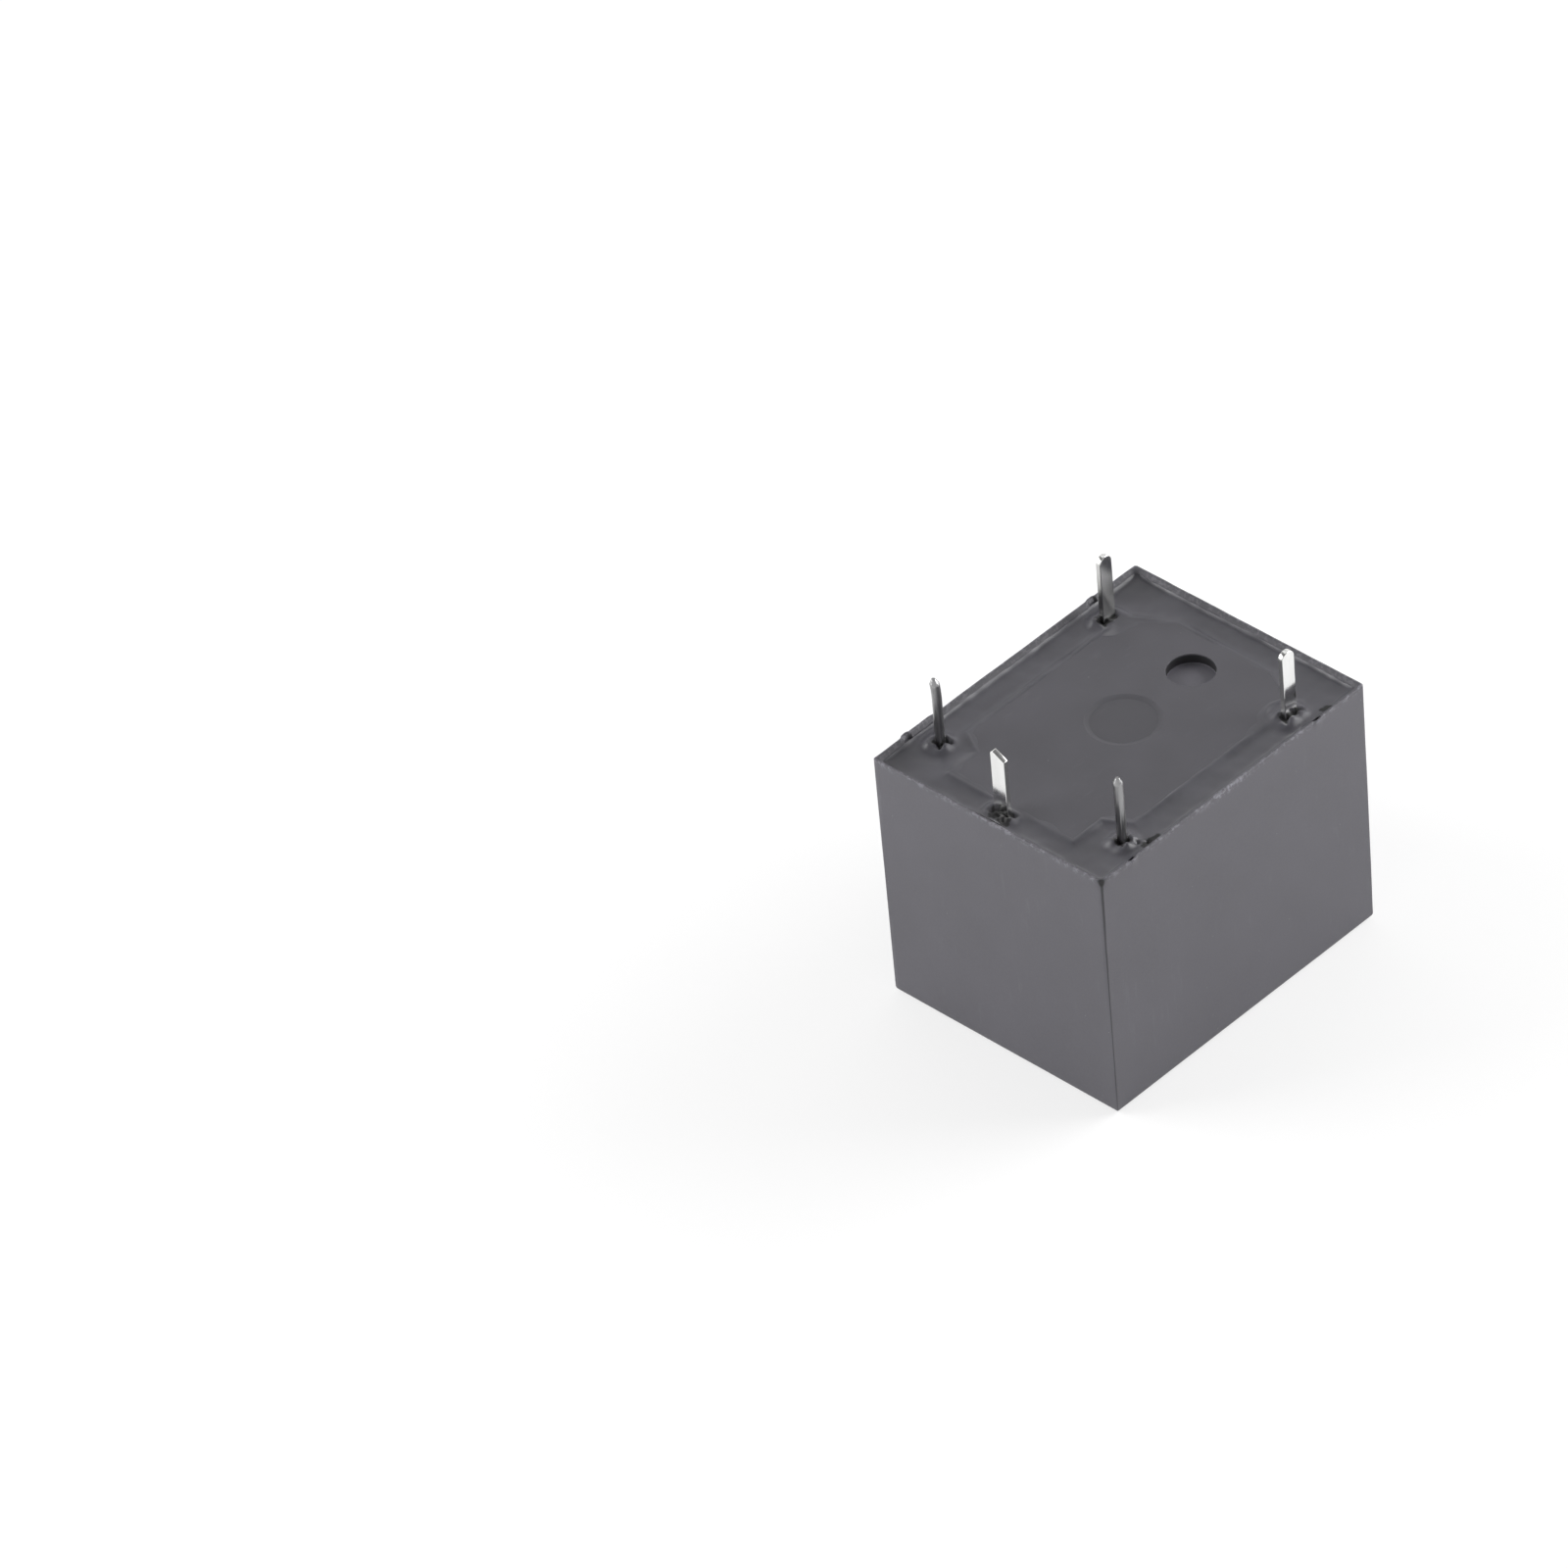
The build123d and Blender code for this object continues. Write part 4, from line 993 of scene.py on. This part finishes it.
def pale_floor(p):
    """A pale floor that the camera and reflections see as white, with the object's shadow."""
    material = bpy.data.materials.new("pale_floor")
    material.use_nodes = True
    tree = material.node_tree
    tree.nodes.clear()
    path = place(tree, "ShaderNodeLightPath").outputs
    eye = calculate(tree, "MAXIMUM", path["Is Camera Ray"], path["Is Transmission Ray"])
    mirror = path["Is Glossy Ray"]
    own = place(tree, "ShaderNodeTexCoord").outputs["Object"]
    grain = ranged(tree, noise(tree, own, 30.0), 0.3, 0.7, 0.99, 1.01)
    kept = calculate(tree, "MULTIPLY_ADD", eye, p.floor_shade - 1, 1.0)
    kept = calculate(tree, "MULTIPLY_ADD", mirror, p.mirror_shade - 1, kept)
    tint = place(tree, "ShaderNodeVectorMath", {
        0: tuple(p.floor), 3: calculate(tree, "MULTIPLY", grain, kept),
    }, operation="SCALE").outputs[0]
    cloth = place(tree, "ShaderNodeBsdfDiffuse", {"Color": tint}).outputs[0]
    white = calculate(tree, "MULTIPLY", eye, p.floor_glow)
    white = calculate(tree, "MULTIPLY_ADD", mirror, p.mirror_glow, white)
    glow = place(tree, "ShaderNodeEmission", {"Color": (1, 1, 1, 1), "Strength": white})
    both = place(tree, "ShaderNodeAddShader", {0: cloth, 1: glow.outputs[0]})
    place(tree, "ShaderNodeOutputMaterial", {"Surface": both.outputs[0]})
    return material


def inside_metal(node, name, body, slot, rounding):
    """Finishes a metal piece inside, in the frame's own plain material of its slot."""
    finished(softened(node, name, rounding), body, slot, bpy.data.materials[slot], node)


# Operators, one for each piece or group of like pieces

BASE_EDGE, FORMER_EDGE, SOLDER_EDGE = 0.07 * MM, 0.08 * MM, 0.1 * MM
IRON_EDGE, CONTACT_EDGE = 0.05 * MM, 0.05 * MM
LEAF_EDGE, COIL_PIN_EDGE = 0.03 * MM, 0.03 * MM
BASE_EDGES_FROM = 14.1 * MM
LEAN_RINGS = 6
LEAN_SIDE = {"a": 1, "b": -0.3}


class RELAY_OT_cover(Operator):
    """Make the moulded cover"""
    bl_idname = "relay.cover"
    bl_label = "Moulded cover"

    def execute(self, context):
        p = context.scene.relay_cover
        finished(cover_piece(p), "housing", "cover_plastic", cover_plastic(p), "cover")
        return {"FINISHED"}


class RELAY_OT_base(Operator):
    """Finish the base plate whose island shows on the pin face"""
    bl_idname = "relay.base"
    bl_label = "Base plate"

    def execute(self, context):
        plate = softened("base", "base_plate", BASE_EDGE, BASE_EDGES_FROM, sharpest=15, crease=15)
        finished(plate, "housing", "base_plastic", base_plastic(context.scene.relay_cover), "base")
        return {"FINISHED"}


class RELAY_OT_potting(Operator):
    """Pour the potting compound"""
    bl_idname = "relay.potting"
    bl_label = "Potting compound"

    def execute(self, context):
        p = context.scene.relay_potting
        finished(potting_piece(p), "housing", "potting", potting_resin(p), "epoxy_seal")
        return {"FINISHED"}


class RELAY_OT_blades(Operator):
    """Finish the common and the two contact terminals"""
    bl_idname = "relay.blades"
    bl_label = "Flat terminals"

    def execute(self, context):
        p = context.scene.relay_pins
        across = tinned_blade(p, "tinned_common", (0, 1, 0))
        along = tinned_blade(p, "tinned_contact", (1, 0, 0))
        for node, finish in (("com_terminal", across), ("no_terminal", along), ("nc_terminal", along)):
            blade = softened(node, node + "_blade", p.edge_rounding, segments=3, sharpest=50)
            finished(blade, "housing", "tinned_metal", finish, node)
        return {"FINISHED"}


class RELAY_OT_coil_pins(Operator):
    """Finish the two coil pins and their solder"""
    bl_idname = "relay.coil_pins"
    bl_label = "Coil pins"

    def execute(self, context):
        p = context.scene.relay_pins
        tin = metal("tinned_wire", (0.34, 0.34, 0.345), 0.27, (1.0, 1.0, 0.08))
        bend_start = cad_box[1].z - p.bent_length
        rings = [bend_start + p.bent_length * k / LEAN_RINGS for k in range(LEAN_RINGS)]
        for side in ("a", "b"):

            def leaning(point):
                bent = max(point.z - bend_start, 0) / p.bent_length
                point.x -= 0.6 * p.bend * bent**2
                point.y += 0.8 * p.bend * bent**2 * LEAN_SIDE[side]

            wire = "coil_pin_wire_" + side
            pin = softened("coil_pin_" + side, wire, COIL_PIN_EDGE, cuts=rings, shape=leaning)
            finished(pin, "housing", "tinned_metal", tin, "coil_pin_" + side)
            inside_metal("coil_solder_" + side, "solder_bead_" + side, "housing", "solder", SOLDER_EDGE)
        return {"FINISHED"}


class RELAY_OT_magnet(Operator):
    """Finish the yoke, the core and the armature"""
    bl_idname = "relay.magnet"
    bl_label = "Magnet iron"

    def execute(self, context):
        for node, name, body in (
            ("yoke", "bent_yoke", "housing"), ("core", "riveted_core", "housing"),
            ("armature", "tilting_armature", "armature"),
        ):
            inside_metal(node, name, body, "magnet_iron", IRON_EDGE)
        return {"FINISHED"}


class RELAY_OT_coil(Operator):
    """Wind the coil and finish its former and leads"""
    bl_idname = "relay.coil"
    bl_label = "Coil"

    def execute(self, context):
        p = context.scene.relay_coil
        copper = metal("enamelled_copper", tuple(p.copper), 0.22, (1.0, 1.0, 1.0), 0.003, coat=0.6)
        finished(winding_piece(p, copper), "housing", "enamelled_wire", copper, "coil_winding")
        former = softened("bobbin", "coil_former", FORMER_EDGE)
        finished(former, "housing", "bobbin_plastic", bobbin_plastic(), "bobbin")
        for side in ("a", "b"):
            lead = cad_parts["coil_lead_" + side].data
            lead.materials.clear()
            lead.materials.append(copper)
        return {"FINISHED"}


class RELAY_OT_spring(Operator):
    """Finish the moving spring, which bends between the yoke and the armature"""
    bl_idname = "relay.spring"
    bl_label = "Moving spring"

    def execute(self, context):
        leaf = softened("moving_spring", "leaf_spring", LEAF_EDGE)
        leaf.data.materials.clear()
        leaf.data.materials.append(bpy.data.materials["spring_bronze"])
        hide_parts("moving_spring")
        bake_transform(leaf)
        return {"FINISHED"}


class RELAY_OT_contacts(Operator):
    """Finish the moving and the fixed contacts"""
    bl_idname = "relay.contacts"
    bl_label = "Contacts"

    def execute(self, context):
        for node, name, body in (
            ("moving_contact", "moving_rivet", "armature"), ("no_contact", "open_rivet", "housing"),
            ("nc_contact", "closed_rivet", "housing"),
        ):
            inside_metal(node, name, body, "contact_silver", CONTACT_EDGE)
        return {"FINISHED"}


# Stage, with places and sizes of the lamps in millimetres

FLOOR_REACH, FLOOR_DROP = 4.0, 2e-5
LAMPS_AIM = Vector((0, 0, 0.008))


def lamp(name, place_mm, size_mm, watts):
    """A square soft lamp turned to the object."""
    light = bpy.data.lights.new(name, "AREA")
    light.shape = "SQUARE"
    light.size = size_mm * MM
    light.energy = watts
    made = linked(name, light)
    made.location = Vector(place_mm) * MM
    made.visible_camera = False
    made.rotation_mode = "QUATERNION"
    made.rotation_quaternion = (LAMPS_AIM - made.location).to_track_quat("-Z", "Y")


def studio_world(scene):
    """A room that is bright near the floor and dimmer overhead."""
    world = bpy.data.worlds.new("studio")
    scene.world = world
    world.use_nodes = True
    tree = world.node_tree
    tree.nodes.clear()
    direction = place(tree, "ShaderNodeTexCoord").outputs["Generated"]
    up = place(tree, "ShaderNodeSeparateXYZ", {0: direction}).outputs["Z"]
    level = ranged(tree, up, 0.1, 1.0, 1.0, 0.12)
    sky = place(tree, "ShaderNodeBackground", {"Color": (1, 1, 1, 1), "Strength": level})
    place(tree, "ShaderNodeOutputWorld", {"Surface": sky.outputs[0]})


class RELAY_OT_stage(Operator):
    """Set up the floor, the lamps and the camera"""
    bl_idname = "relay.stage"
    bl_label = "Stage"

    def execute(self, context):
        scene = context.scene
        p = scene.relay_stage
        turns = ((-1, -1), (1, -1), (1, 1), (-1, 1))
        corners = [(FLOOR_REACH * x, FLOOR_REACH * y, -FLOOR_DROP) for x, y in turns]
        floor = mesh_piece("floor", corners, [(0, 1, 2, 3)])
        floor.data.materials.append(pale_floor(p))
        studio_world(scene)
        lamp("left_softbox", (-112, 130, 80), 130, p.side_lamp)
        lamp("right_softbox", (132, -76, 76), 130, 1.05 * p.side_lamp)
        lamp("upper_softbox", (205, 220, 520), 420, p.upper_lamp)
        camera = bpy.data.cameras.new("camera")
        camera.lens = p.lens
        camera.sensor_width = 36
        camera.clip_start, camera.clip_end = 0.01, 20
        right, forward = Vector(p.camera_right), Vector(p.camera_forward)
        up = right.cross(forward).normalized()
        made = linked("camera", camera)
        made.matrix_world = Matrix.Translation(Vector(p.camera_place)) @ Matrix(
            (forward.cross(up).normalized(), up, -forward.normalized())
        ).transposed().to_4x4()
        scene.camera = made
        scene.view_settings.view_transform = "Standard"
        return {"FINISHED"}


class RELAY_PT_sidebar(Panel):
    """The relay's pieces and their settings"""
    bl_label = "Relay"
    bl_idname = "RELAY_PT_sidebar"
    bl_space_type = "VIEW_3D"
    bl_region_type = "UI"
    bl_category = "Relay"

    def draw(self, context):
        for operator in OPERATORS:
            self.layout.operator(operator.bl_idname)
        for name in SETTINGS:
            group = getattr(context.scene, name)
            box = self.layout.box()
            for key in group.__annotations__:
                box.prop(group, key)


SETTINGS = {
    "relay_cover": CoverSettings,
    "relay_potting": PottingSettings,
    "relay_pins": PinSettings,
    "relay_coil": CoilSettings,
    "relay_stage": StageSettings,
}
OPERATORS = (
    RELAY_OT_stage, RELAY_OT_cover, RELAY_OT_base, RELAY_OT_potting, RELAY_OT_blades, RELAY_OT_coil_pins,
    RELAY_OT_magnet, RELAY_OT_coil, RELAY_OT_spring, RELAY_OT_contacts,
)


def register():
    for kind in (*SETTINGS.values(), *OPERATORS, RELAY_PT_sidebar):
        bpy.utils.register_class(kind)
    for name, kind in SETTINGS.items():
        setattr(bpy.types.Scene, name, PointerProperty(type=kind))


def unregister():
    for name in SETTINGS:
        delattr(bpy.types.Scene, name)
    for kind in reversed((*SETTINGS.values(), *OPERATORS, RELAY_PT_sidebar)):
        bpy.utils.unregister_class(kind)


def main():
    """Makes the whole relay."""
    register()
    for operator in OPERATORS:
        group, name = operator.bl_idname.split(".")
        getattr(getattr(bpy.ops, group), name)()


if __name__ == "__main__":
    main()
